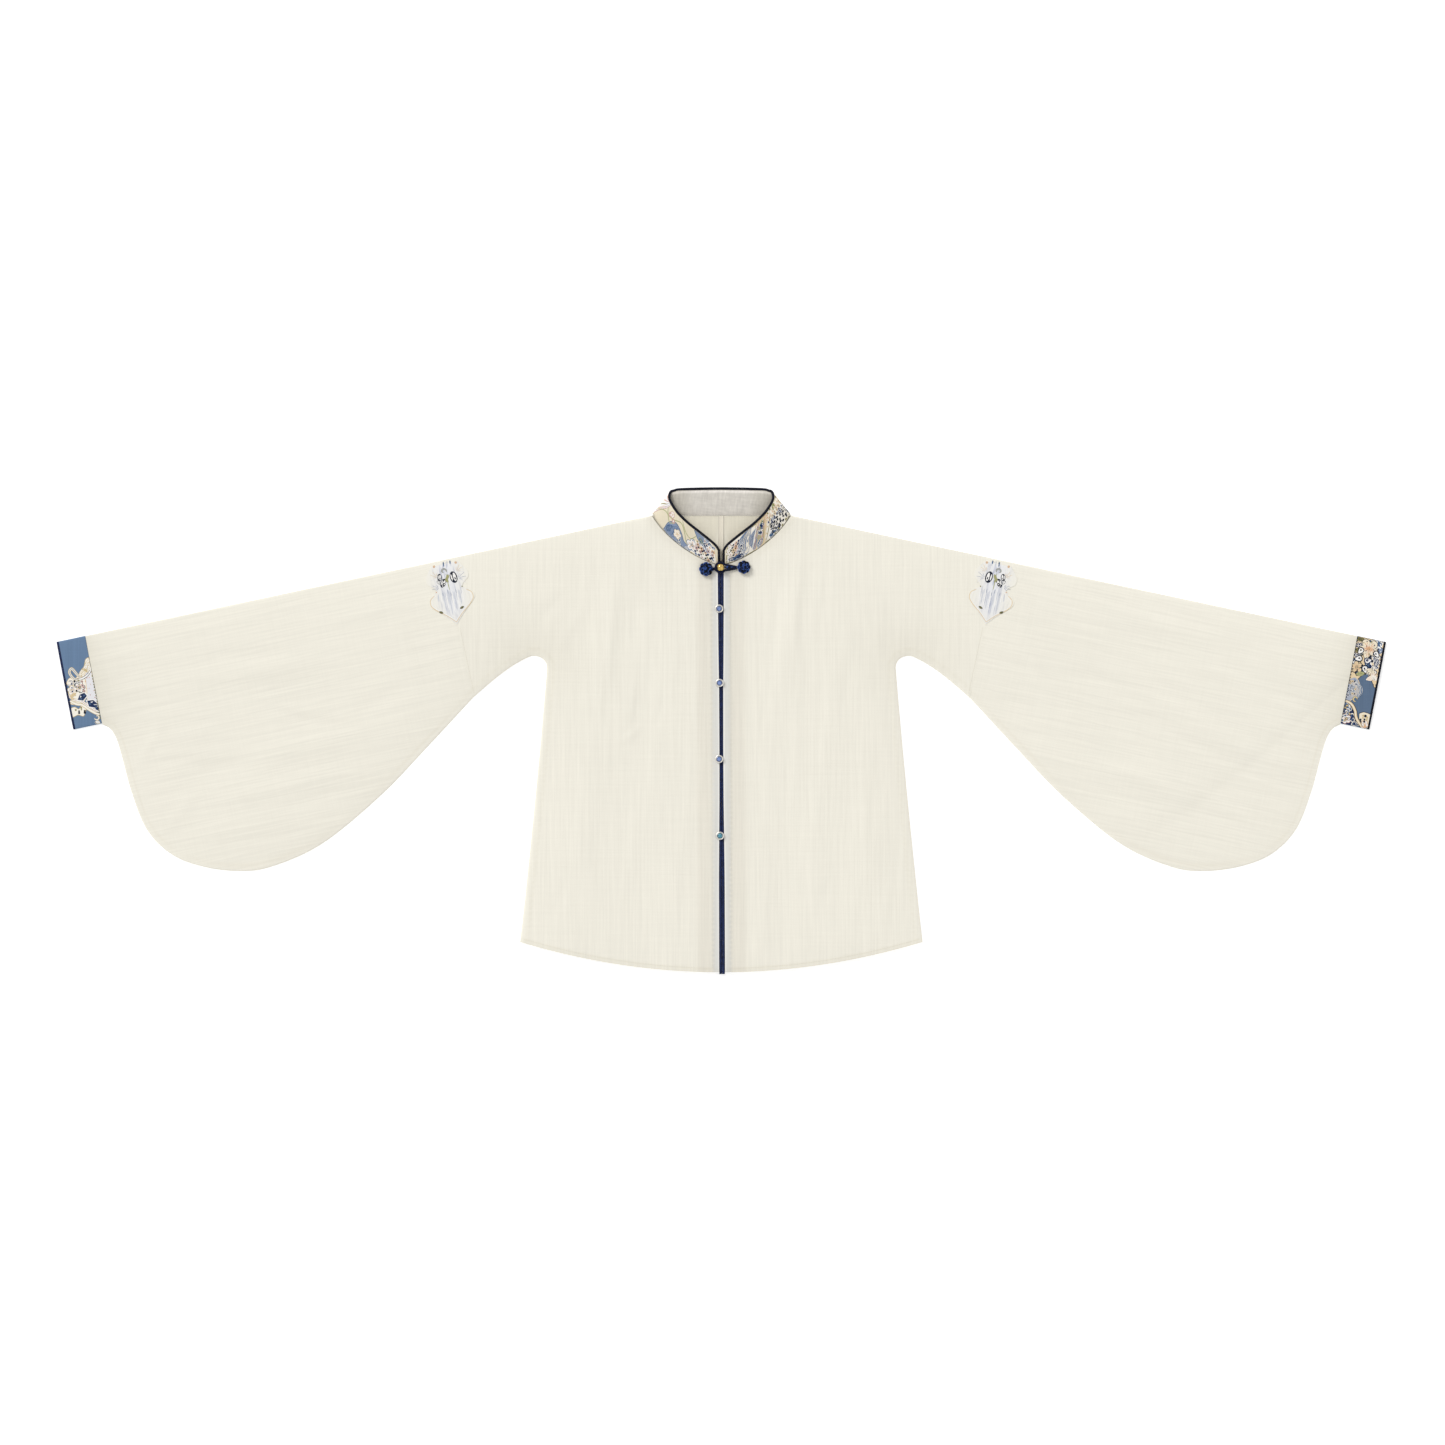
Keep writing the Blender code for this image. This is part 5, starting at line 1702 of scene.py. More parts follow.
        layer.strew((26, 107), (37, 118), 9, (("dot", 3.4, COAL, COAL), ("dot", 2.8, OCHRE, OCHRE)))
        layer.strew((1, 97), (12, 122), 14, (("chip", 3.6, SLATE, CREAM), ("chip", 3.4, OCHRE, COAL),
                                             ("drop", 3.6, WHITE, NAVY)))
        layer.strew((2, 62), (13, 86), 12, (("drop", 3.4, NAVY, WHITE), ("rosette", 3.8, SAND, COAL),
                                            ("dot", 1.8, COAL, COAL)))
        layer.strew((9, 3), (31, 27), 12, (("dot", 1.8, OLIVE, NAVY), ("dot", 1.6, NAVY, NAVY)))
        layer.ribbon([(0, 92), (9, 95), (16, 103), (20, 113), (29, 123)], 3.6, SAND, COAL, CREAM)
        self.seam_dashes(layer, 2, 122, COAL)


@dataclass
class Sleeves:
    """Lower pipa sleeves with their printed cuffs and bindings."""

    wall: float = 0.0009
    binding_length: float = 0.0031
    stations: int = 150
    across: int = 62
    cuff_across: int = 46
    shade_reach: float = 0.020

    def flat_tube(
        self, name: str, sections: Array, side: Side, across: int, finish: Finish
    ) -> tuple[Piece, float]:
        """Make a flattened open tube from its sections.

        Args:
            name: Name of the piece.
            sections: Along and deep place of the lower edge, and along place of the fold end.
            side: Which sleeve.
            across: How many points cross one layer.
            finish: Its finish.

        Returns:
            The piece and the flat area of its cut.
        """
        folds = FORM.on_sleeve(sections[:, 2], 0.0)
        edges = FORM.on_sleeve(sections[:, 0], sections[:, 1])
        middle = FORM.edge_height / 2
        flip = np.array((side.value, 1.0))
        rings = []
        for fold, edge in zip(folds, edges):
            length = np.linalg.norm(edge - fold)
            near = FORM.edge_round * np.array((0.04, 0.15, 0.35, 0.65)) / length
            inner = np.linspace(FORM.edge_round / length, 1.0 - FORM.edge_round / length, across)
            shares = np.concatenate([near, inner, 1.0 - near[::-1]])
            plan = (fold + shares[:, None] * (edge - fold)) * flip
            from_end = np.minimum(shares, 1.0 - shares) * length / FORM.edge_round
            roundness = np.sqrt(1.0 - (1.0 - np.clip(from_end, 0.0, 1.0)) ** 2)
            top = middle + (FORM.height(plan) - middle) * roundness
            low = middle * (1.0 - roundness) + FORM.underside(plan) * roundness
            upper, under = np.column_stack([plan, top]), np.column_stack([plan, low])[::-1]
            rings.append(np.vstack([[(*fold * flip, middle)], upper, [(*edge * flip, middle)], under]))
        faces = grid_faces(len(rings), len(rings[0]), around=True)
        if side is Side.RIGHT:
            faces = [face[::-1] for face in faces]
        shell = closed_shell(np.vstack(rings), faces, self.wall)
        piece = mesh_piece(name, *shell, [finish])
        return piece, 2 * abs(ring_area(np.vstack([folds, edges[::-1]])))

    def tones(self, points: Array) -> Array:
        """Tones of a sleeve: painted soft shade by the cuff and along the shoulder fold, painted light
        along the lower edge that offsets the shade of its rounded edge, and faint seam lines.
        """
        half = mirrored(points)
        end = FORM.cuff_seam_along
        cuff = FORM.on_sleeve(np.array((end, end + FORM.cuff_lean)), np.array((0.0, FORM.cuff_deep)))
        fold = FORM.on_sleeve(np.array((0.29, 0.85)), 0.0)
        from_lower = distance_to_line(half, FORM.sleeve_edge(60))
        # Painted shade by the cuff and along the fold, painted light along the lower edge; the other rows
        # are seam lines showing through.
        return shaded_tones(
            len(points),
            (np.exp(-distance_to_line(half, cuff) / self.shade_reach), (0.050, 0.052, 0.060)),
            (bell(from_lower, 0.0018), (-0.030, -0.030, -0.030)),
            (bell(distance_to_line(half, fold), 0.0012), (0.016, 0.013, 0.013)),
            (bell(from_lower - 0.0085, 0.0014), (0.012, 0.016, 0.022)),
            (bell(distance_to_line(half, FORM.body_seam()), 0.0016), (0.005, 0.005, 0.006)),
        )

    def build(self) -> None:
        """Make both sleeves, cuffs and cuff bindings."""
        for side in Side:
            self.build_sleeve(side)
            self.build_cuff(side)

    def build_sleeve(self, side: Side) -> None:
        """Make one sleeve."""
        sections = even_steps(FORM.sleeve_sections, self.stations)
        name = f"sleeve_{side.word}_cotton"
        piece, area = self.flat_tube(name, sections, side, self.across, SLEEVE_COTTON[side])
        points = np.array([vertex.co for vertex in piece.data.vertices])
        paint_tone(piece, self.tones(points))
        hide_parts(f"sleeve_{side.word}")
        girth = 2 * max(row[1] for row in FORM.sleeve_sections)

    def cuff_sections(self, start: float, end: float, count: int) -> Array:
        """Section rows of a cuff between two places along the sleeve."""
        places = np.linspace(start, end, count)
        return np.column_stack([places + FORM.cuff_lean, np.full(count, FORM.cuff_deep), places])

    def build_cuff(self, side: Side) -> None:
        """Make one cuff, its print and its binding."""
        start = FORM.cuff_seam_along
        end = start + FORM.cuff_length
        binding_start = end - self.binding_length
        rows = self.cuff_sections(start + 0.0002, binding_start - 0.0001, 24)
        finish = CUFF_GROUND[side]
        cuff, area = self.flat_tube(f"cuff_{side.word}_print", rows, side, self.cuff_across, finish)
        paint_tone(cuff, np.ones((1, 3)))
        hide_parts(f"cuff_{side.word}")
        rows = self.cuff_sections(binding_start, end, 8)
        name = f"cuff_{side.word}_binding"
        satin = FRONT_SATIN if side is Side.RIGHT else EDGE_SATIN
        binding, _ = self.flat_tube(name, rows, side, self.cuff_across, satin)
        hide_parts(f"cuff_binding_{side.word}")
        CuffPrint(side).build()


@dataclass
class Collar:
    """Printed stand collar, its lining and the binding round its edge."""

    wall: float = 0.0010
    height_mm: float = 36.0
    binding_radius: float = 0.00135
    shown_radius: float = 0.00190
    fold: tuple[float, float] = (0.0950, 0.3018)
    fold_facing: float = math.radians(41)
    fold_radius: float = 0.00195
    seam_inset: float = 0.0008
    stations: int = 110
    across: int = 14
    # Columns: x, y and height of the binding's outer line from front to centre back, and the place
    # on the neck seam: to 1 along the front, to 2 round the fold, to 3 along the back
    edge_rows: tuple[tuple[float, float, float, float], ...] = (
        (0.0022, 0.2535, 0.0100, 0.05),
        (0.0066, 0.2600, 0.0112, 0.10),
        (0.0150, 0.2675, 0.0128, 0.19),
        (0.0288, 0.2783, 0.0150, 0.38),
        (0.0455, 0.2914, 0.0162, 0.56),
        (0.0590, 0.3045, 0.0156, 0.72),
        (0.0668, 0.3155, 0.0134, 0.88),
        (0.0704, 0.3228, 0.0106, 1.10),
        (0.0716, 0.3287, 0.0074, 1.50),
        (0.0702, 0.3338, 0.0046, 1.88),
        (0.0662, 0.3375, 0.0025, 2.14),
        (0.0600, 0.3394, 0.0012, 2.29),
        (0.0400, 0.3402, 0.0006, 2.55),
        (0.0200, 0.3406, 0.0005, 2.78),
        (0.0000, 0.3408, 0.0005, 3.00),
    )

    def seam_points(self, shares: Array) -> Array:
        """Points on the neck seam, for places as in the edge rows' last column."""
        front = moved_sideways(FORM.front_neck(60), self.seam_inset)
        front = np.vstack([front[:56], [self.fold]])
        reads = np.linspace(0.0, 1.0, len(front))
        plan = read_at(shares, reads, front)
        heights = FORM.height(plan, creased=False) - self.wall / 2
        angle = math.pi * (1.5 - shares)
        facing = np.array((math.cos(self.fold_facing), math.sin(self.fold_facing)))
        turn = np.array(self.fold) + (self.fold_radius * np.cos(angle))[:, None] * facing
        risen = self.wall / 2 + self.fold_radius * (1.0 + np.sin(angle))
        back_y = np.full(len(shares), FORM.neck_y + 1.5 * SEAM_GAP)
        back = np.column_stack([self.fold[0] * (3.0 - shares), back_y, back_y * 0 + self.wall / 2])
        points = np.column_stack([plan, heights])
        points = np.where((shares >= 1.0)[:, None], np.column_stack([turn, risen]), points)
        return np.where((shares >= 2.0)[:, None], back, points)

    def station_pairs(self) -> Array:
        """Seam and top points of the outer collar, from one front edge to the other."""
        edge = even_steps(self.edge_rows, self.stations)
        seams, tops = self.seam_points(edge[:, 3]), edge[:, :3]
        ahead = unit(np.gradient(tops, axis=0))
        upward = tops - seams
        upward = unit(upward - np.sum(upward * ahead, axis=1)[:, None] * ahead)
        tops = tops - upward * (2 * self.binding_radius + 2 * SEAM_GAP)
        tops[:, 2] = np.maximum(tops[:, 2], self.wall / 2)
        tops[-1, 0] = 0.0
        half = np.stack([seams, tops], axis=1)
        other = half[:-1][::-1] * np.array((-1.0, 1.0, 1.0))
        return np.concatenate([half, other])

    def build(self) -> None:
        """Make the collar, its lining, binding, print and stitches."""
        pairs = self.station_pairs()
        shares = np.linspace(0.0, 1.0, self.across)
        grid = pairs[:, None, 0] + (pairs[:, None, 1] - pairs[:, None, 0]) * shares[None, :, None]
        inward = unit(np.cross(np.gradient(grid, axis=1), np.gradient(grid, axis=0)))
        lofted = np.clip((grid[:, -1, 2] - 0.004) / 0.006, 0.0, 1.0)[:, None, None]
        self.grid = grid - inward * np.sin(math.pi * shares)[None, :, None] * 0.0008 * lofted
        self.inward = inward
        collar = self.band("collar_print_cloth", -self.wall / 2, COLLAR_GROUND)
        seam_shade = np.tile(0.26 * (shares < 0.5 / self.across), len(pairs))
        paint_tone(collar, 1.0 - seam_shade[:, None] * np.ones(3))
        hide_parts("collar")
        step_in = self.wall / 2 + SEAM_GAP + self.lining_crumples()
        lining = self.band("collar_lining_muslin", step_in, LINING_COTTON)
        paint_tone(lining, self.lining_tones())
        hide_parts("collar_lining")
        one, other = self.grid[1:, 1:] - self.grid[:-1, :-1], self.grid[1:, :-1] - self.grid[:-1, 1:]
        area = float(np.sum(np.linalg.norm(np.cross(one, other), axis=2)) / 2)
        run = float(run_lengths(self.grid[:, self.across // 2])[-1])
        trims = [self.build_binding(), self.print_flowers(), self.stitch()]

    def lining_crumples(self) -> Array:
        """Soft crumples of the lining across the back."""
        along = np.cumsum(np.linalg.norm(np.gradient(self.grid[:, -1], axis=0), axis=1))[:, None]
        up = np.linspace(0.0, 1.0, self.across)[None, :]
        waves = np.sin(along * 230 + 3.0 * up) + 0.7 * np.sin(along * 410 - 5.0 * up + 1.0)
        waves += 0.5 * np.sin(along * 150 + 9.0 * up)
        return (0.00020 * (waves + 1.0) * np.sin(math.pi * np.clip(up, 0.02, 0.98)))[:, :, None]

    def lining_tones(self) -> Array:
        """Tones of the lining: painted light along the binding, painted shade low down and at the corners,
        and faint soft bands of painted shade.
        """
        up = np.tile(np.linspace(0.0, 1.0, self.across), len(self.grid))
        across = np.abs(self.grid[:, :, 0].ravel())
        corner = np.clip((across - 0.036) / 0.036, 0.0, 1.0)
        # Painted light near the top edge, painted shade low in the collar, at its corners and in soft
        # bands.
        return shaded_tones(
            len(up),
            (bell(up - 0.93, 0.05), (-0.16, -0.16, -0.17)),
            (np.exp(-up / 0.10), (0.070, 0.075, 0.080)),
            (corner, (0.130, 0.135, 0.160)),
            (bell(up - 0.45, 0.08) * 0.5 + bell(across - 0.022, 0.006) * 0.5, (0.020, 0.02, 0.02)),
        )

    def band(self, name: str, offset: float | Array, finish: Finish) -> Piece:
        """Make one closed layer of the collar.

        Args:
            name: Name of the piece.
            offset: How far inward of the collar's middle layer its outer face lies.
            finish: Its finish.

        Returns:
            The piece.
        """
        outer = self.grid + self.inward * offset
        rows, columns = outer.shape[:2]
        faces = [face[::-1] for face in grid_faces(rows, columns)]
        points, closed = closed_shell(outer.reshape(-1, 3), faces, self.wall)
        points[:, 2] = np.maximum(points[:, 2], 0.0)
        return mesh_piece(name, points, closed, [finish])

    def build_binding(self) -> Piece:
        """Make the binding along the top edge and both front corners."""
        grid, inward = self.grid, self.inward
        edge = np.vstack([grid[0], grid[1:-1, -1], grid[-1][::-1]])
        facing = np.vstack([inward[0], inward[1:-1, -1], inward[-1][::-1]])
        outward = unit(np.cross(np.gradient(edge, axis=0), facing))
        reach = 2 * (self.binding_radius + SEAM_GAP) - self.shown_radius
        path = edge + facing * (self.wall + SEAM_GAP) / 2 + outward * reach
        path[:, 2] = np.maximum(path[:, 2], self.shown_radius)
        batch = MeshBatch()
        tube = tube_mesh(even_steps(path, 420), self.shown_radius, self.shown_radius, 14)
        batch.add(tube, EDGE_SATIN)
        return batch.build("collar_edge_binding", "binding", "collar_binding")

    def on_collar(self, flat: Array, lift: float) -> Array:
        """Points on the collar's outer face.

        Args:
            flat: Millimetres along from the centre front, negative on the wearer's right, and
                millimetres up from its seam.
            lift: Height above the cloth.

        Returns:
            Points in space.
        """
        runs = run_lengths(self.grid[:, self.across // 2])
        wanted = np.where(flat[:, 0] >= 0, flat[:, 0] * MM, runs[-1] + flat[:, 0] * MM)
        place = np.interp(wanted, runs, np.arange(len(runs)))
        up = np.clip(flat[:, 1] / self.height_mm, 0.01, 0.99) * (self.across - 1)
        outer = self.grid - self.inward * (self.wall / 2 + lift)
        row = np.minimum(place.astype(int), len(runs) - 2)
        step = np.minimum(up.astype(int), self.across - 2)
        further, higher = (place - row)[:, None], (up - step)[:, None]
        below = outer[row, step] * (1 - further) + outer[row + 1, step] * further
        above = outer[row, step + 1] * (1 - further) + outer[row + 1, step + 1] * further
        return below * (1 - higher) + above * higher

    def print_flowers(self) -> Piece:
        """Print vines, leaves and blossoms on the visible front halves."""
        layer = PrintLayer(self.on_collar)
        self.right_half(layer)
        layer.depth = 0
        self.left_half(layer)
        return layer.batch.build("collar_flowers", "print")

    def right_half(self, layer: PrintLayer) -> None:
        """Airy vines on beige, then blue-grey leaves, then small flowers by the front."""
        layer.patch([(-88, 2), (-76, 0.4), (-58, 0.4), (-38, 0.4), (-42, 7), (-54, 9), (-62, 18),
                     (-74, 24), (-85, 16)], DUSK, SLATE)
        layer.patch([(-40, 0.6), (-22, 0.6), (-4, 1), (-5, 20), (-12, 35), (-24, 35.4), (-34, 24),
                     (-46, 19), (-48, 9)], CREAM, SAND)
        layer.patch([(-44, 35.4), (-34, 26), (-24, 25), (-17, 35.4)], DUSK, SLATE)
        layer.patch([(-121, 2), (-112, 1), (-104, 20), (-97, 35.4), (-110, 35.4), (-121, 30)], LILAC, ROSE)
        layer.strokes(
            ([(-112, 8), (-102, 21), (-92, 23), (-84, 17), (-74, 24)], 1.3, SAGE),
            ([(-100, 35), (-92, 24), (-80, 25), (-66, 30), (-56, 20), (-50, 8)], 1.4, SAGE),
            ([(-66, 35), (-56, 24), (-46, 20), (-38, 30)], 1.2, SAGE),
            ([(-121, 20), (-112, 29), (-106, 35)], 1.3, ROSE),
            ([(-119, 12), (-110, 24), (-102, 35)], 1.1, OLIVE),
            ([(-115, 5), (-108, 18), (-99, 33)], 1.1, ROSE),
        )
        layer.strew((-122, 1), (-110, 17), 9, (("chip", 3.4, SLATE, CREAM), ("dot", 2.4, ROSE, ROSE),
                                               ("dot", 2.4, OLIVE, OLIVE)))
        layer.draw(
            ("leaf", -86, 3, 17, 55, SLATE, DUSK),
            ("leaf", -76, 2, 20, 70, DUSK, SLATE),
            ("leaf", -58, 1, 15, 130, SLATE, CREAM),
            ("leaf", -50, 2, 13, 20, DUSK, CREAM),
            ("blossom", -67, 12, 11, 0, CREAM, SAND),
            ("rosette", -88, 26, 7, 0, ROSE, WHITE),
            ("rosette", -79, 23, 7, 0, ROSE, WHITE),
            ("blossom", -84, 29, 7, 0, WHITE, ROSE),
            ("blossom", -41, 12, 17, 15, WHITE, SLATE),
            ("scroll", -34, 20, 9, 200, WHITE, NAVY),
            ("leaf", -34, 30, 14, -40, SLATE, SAGE),
            ("facet", -22, 25, 10, 70, NAVY, WHITE),
            ("facet", -15, 31, 8, 20, SLATE, WHITE),
        )
        layer.strew((-36, 2), (-5, 24), 38, (
            ("rosette", 6.4, PEACH, COAL), ("chip", 4.6, NAVY, WHITE), ("rosette", 6.6, WHITE, ROSE),
            ("chip", 4.4, COAL, CREAM), ("drop", 4.6, SLATE, WHITE), ("rosette", 6.0, ROSE, NAVY),
            ("dot", 2.2, OLIVE, OLIVE), ("chip", 3.4, DUSK, WHITE), ("dot", 2.4, COAL, COAL)))
        layer.strew((-24, 25), (-6, 34), 11, (("leaf", 7.0, SLATE, WHITE), ("chip", 4.0, NAVY, WHITE),
                                              ("dot", 2.4, PEACH, PEACH)))

    def left_half(self, layer: PrintLayer) -> None:
        """Small flowers by the front, blue-grey plumes, then a dark mosaic up to the neck."""
        layer.patch([(4, 1), (30, 0.6), (70, 0.6), (121, 0.8), (121, 35.4), (60, 35.4), (10, 35), (4, 18)],
                    CREAM, OLIVE)
        layer.patch([(44, 0.6), (62, 0.6), (82, 35), (58, 35.2)], SAND)
        layer.draw(
            ("plume", 22, 1, 42, 58, DUSK, SLATE),
            ("plume", 32, 1, 41, 62, DUSK, IVORY),
            ("plume", 44, 1, 36, 58, GREY, SLATE),
            ("plume", 57, 2, 34, 60, SAGE, ROSE),
            ("leaf", 50, 1, 15, 40, SLATE, WHITE),
            ("leaf", 70, 33, 13, -130, SAGE, OLIVE),
        )
        layer.strokes(
            ([(40, 1), (46, 12), (53, 24), (61, 35)], 1.5, CREAM),
            ([(43, 1), (49, 12), (56, 24), (64, 35)], 1.1, ROSE),
            ([(55, 1), (61, 12), (68, 24), (76, 35)], 1.2, ROSE),
            ([(61, 1), (67, 11), (74, 22), (82, 35)], 1.3, IVORY),
            ([(64, 1), (70, 9), (78, 20), (86, 35)], 1.1, OLIVE),
        )
        layer.draw(
            ("facet", 66, 27, 11, 60, NAVY, WHITE),
            ("facet", 60, 20, 8, 120, NAVY, WHITE),
            ("facet", 86, 17, 21, 50, NAVY, WHITE),
            ("facet", 78, 4, 12, 0, SLATE, WHITE),
            ("facet", 88, 4, 10, 200, NAVY, CREAM),
            ("facet", 102, 20, 18, 100, NAVY, WHITE),
            ("facet", 112, 8, 12, 30, SLATE, CREAM),
            ("leaf", 92, 30, 12, 20, SAGE, OLIVE),
        )
        layer.strew((77, 1), (121, 35), 84, (
            ("chip", 4.4, COAL, CREAM), ("dot", 2.4, OLIVE, OLIVE), ("chip", 4.0, NAVY, WHITE),
            ("dot", 3.0, COAL, COAL), ("rosette", 4.6, SAND, NAVY), ("chip", 4.0, COAL, CREAM),
            ("drop", 3.6, PEACH, CREAM)))
        layer.strew((5, 2), (28, 34), 52, (
            ("rosette", 6.4, PEACH, COAL), ("chip", 4.4, COAL, WHITE), ("rosette", 6.6, WHITE, ROSE),
            ("chip", 4.2, NAVY, CREAM), ("drop", 4.6, ROSE, WHITE), ("rosette", 6.0, SAND, COAL),
            ("dot", 2.4, OLIVE, OLIVE), ("leaf", 7.5, SLATE, WHITE)))
        layer.draw(
            ("leaf", 6, 9, 15, -30, NAVY, WHITE),
            ("leaf", 12, 3, 16, 10, SLATE, NAVY),
            ("facet", 24, 5, 9, 40, NAVY, WHITE),
        )

    def stitch(self) -> Piece:
        """Sew the collar's lower edge."""
        batch = MeshBatch()
        for start, end in ((4.0, 116.0), (-116.0, -4.0)):
            flat = np.column_stack([np.linspace(start, end, 90), np.full(90, 1.8)])
            Stitching().sew(batch, self.on_collar(flat, 0.0004), SEWING_THREAD)
        return batch.build("collar_stitches", "print")


@dataclass
class ShoulderPatches:
    """Gauze shields sewn over the sleeve seams, with a small flower spray on each.

    Millimetres run from the sleeve seam outwards and from the shoulder fold down.
    """

    wall: float = 0.0004
    lift: float = 0.0001
    # Columns: across from the seam and deep below the fold, for half of the shield
    outline: tuple[tuple[float, float], ...] = (
        (0.0000, 0.0925),
        (0.0095, 0.0820),
        (0.0205, 0.0715),
        (0.0300, 0.0630),
        (0.0328, 0.0560),
        (0.0285, 0.0485),
        (0.0190, 0.0425),
        (0.0215, 0.0365),
        (0.0290, 0.0305),
        (0.0300, 0.0215),
        (0.0240, 0.0125),
        (0.0185, 0.0060),
    )

    def ring(self, side: Side) -> Array:
        """Plan ring of the shield."""
        half = even_steps(self.outline, 60)
        start = FORM.body_seam_along
        inner = FORM.on_sleeve(start - half[:, 0], half[:, 1], side.value)
        outer = FORM.on_sleeve(start + half[::-1, 0], half[::-1, 1], side.value)
        return np.vstack([inner, outer[:-1]])

    def build(self) -> None:
        """Make both patches."""
        for side in Side:
            self.build_patch(side)

    def build_patch(self, side: Side) -> None:
        """Make one patch with its flower spray."""
        ring = self.ring(side)
        plan, faces = fill_plan(ring, 0.0026, (0.0008,))
        points = np.column_stack([plan, FORM.height(plan) + self.lift + self.wall])
        turn = SLEEVE_SLOPE * side.value
        gauze = StripedGauze(f"Silk gauze striped grey {side.word}", "#F2F0EF", 0.8, grain=turn)
        shell = closed_shell(points, faces, self.wall)
        piece = mesh_piece(f"patch_{side.word}_gauze", *shell, [gauze])
        along = (np.abs(plan[:, 0]) - FORM.neck_point_x) * math.cos(SLEEVE_SLOPE)
        along += (FORM.neck_y - plan[:, 1]) * math.sin(SLEEVE_SLOPE)
        deep = (FORM.neck_y - plan[:, 1]) * math.cos(SLEEVE_SLOPE)
        deep -= (np.abs(plan[:, 0]) - FORM.neck_point_x) * math.sin(SLEEVE_SLOPE)
        middle = bell(along - FORM.body_seam_along, 0.019)
        low = fall(deep, 0.080, 0.006)
        grey = (middle * (0.35 + 0.65 * low))[:, None]
        tones = grey * np.array((0.945, 0.955, 0.970)) + (1.0 - grey) * np.array((0.983, 0.975, 0.925))
        paint_tone(piece, tones, middle * low)
        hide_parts(f"applique_{side.word}")
        abs(ring_area(ring))
        self.flower_spray(side)

    def flower_spray(self, side: Side) -> Piece:
        """Buds, a curling stem, grey tufts and the shield's thin double outline."""

        def on_patch(flat: Array, lift: float) -> Array:
            """Points on the gauze from millimetres outwards and down."""
            along = FORM.body_seam_along + flat[:, 0] * MM
            plan = FORM.on_sleeve(along, np.clip(flat[:, 1], 3.0, 92.0) * MM, side.value)
            return np.column_stack([plan, FORM.height(plan) + self.lift + self.wall + lift])

        layer = PrintLayer(on_patch)
        shield = even_steps([(0, 89.5), (11, 78.5), (25, 67), (31.2, 57), (27, 50), (18, 44.5)], 24)
        for share, width, ink in ((1.0, 0.9, SAND), (0.92, 0.8, WHITE)):
            for sign in (1, -1):
                line = (shield - (0, 62)) * (sign * share, share) + (0, 62)
                layer.stroke(line[::3], width, ink, 0, 0.2)
        for number in range(10):
            u = -17.0 + 3.8 * number
            uneven = (GOLDEN_STEP * number) % 1.0
            start = 41.0 + 5.0 * ((1.0 + GOLDEN_STEP) * number % 1.0)
            end = 80.0 - 0.055 * (u + 1.0) ** 2 - 9.0 * uneven
            layer.stroke(np.array([(u, start + 2), (u + 0.8, end)]), 1.5, (WHITE, MIST)[number % 2], 1)
            layer.stroke(np.array([(u + 1.6, start), (u + 1.9, end - 14)]), 0.9, MIST, 1)
            if number in (2, 4, 5, 7):
                top = start + 8.0 * uneven
                layer.stroke(np.array([(u + 1.2, top), (u + 1.0, top + 4 + number % 3)]), 0.9, GREY, 2)
        for number in range(6):
            u = -9.0 + 2.6 * number
            layer.stroke(np.array([(u, 2.0), (u + 0.4, 11.0)]), 1.2, (MIST, WHITE)[number % 2], 1)
        layer.stroke(np.array([(-8.5, 3), (-8, 8)]), 1.5, SLATE, 2)
        layer.stroke(np.array([(1.0, 3), (1.5, 10)]), 1.5, SLATE, 2)
        layer.stroke(np.array([(0, 44), (0.5, 34), (-0.5, 26), (1, 20)]), 1.2, SAGE, 2)
        layer.depth += layer.levels
        layer.draw(
            ("tuft", -15, 30, 13, 200, LILAC, GREY),
            ("tuft", -15, 20, 11, 225, LILAC, SAND),
            ("tuft", 14, 37, 11, -10, LILAC, GREY),
            ("tuft", 13, 22, 11, -40, LILAC, SAND),
            ("bud", -9, 27, 17, 96, WHITE, COAL),
            ("bud", 10.5, 23.5, 10.5, 80, WHITE, COAL),
            ("bud", 7, 32.5, 13, 62, WHITE, COAL),
            ("drop", 6.5, 35, 6.0, 60, COAL, WHITE),
            ("drop", 13, 30, 4.5, 100, WHITE, COAL),
            ("scroll", 3.0, 16, 8, 150, GREY, OLIVE),
            ("leaf", -2, 22, 7, 60, SAGE, OLIVE),
            ("leaf", 3, 27, 6, 120, SAGE, OLIVE),
            ("leaf", -14, 70, 5.0, 20, OLIVE, COAL),
            ("leaf", 16, 73, 5.0, -30, OLIVE, COAL),
            ("rosette", -16, 7.5, 3.6, 0, PEACH, SAND),
            ("rosette", 15, 7.0, 3.6, 0, PEACH, SAND),
            ("dot", 19, 43, 1.8, 0, PEACH, PEACH),
            ("dot", -18, 42, 1.8, 0, OLIVE, OLIVE),
        )
        return layer.batch.build(f"patch_{side.word}_spray", "gauze")


def box_middle(node: str) -> tuple[Array, Array]:
    """Middle and size of a CAD node's box."""
    low, high = (np.array(corner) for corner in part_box(node))
    return (low + high) / 2, high - low


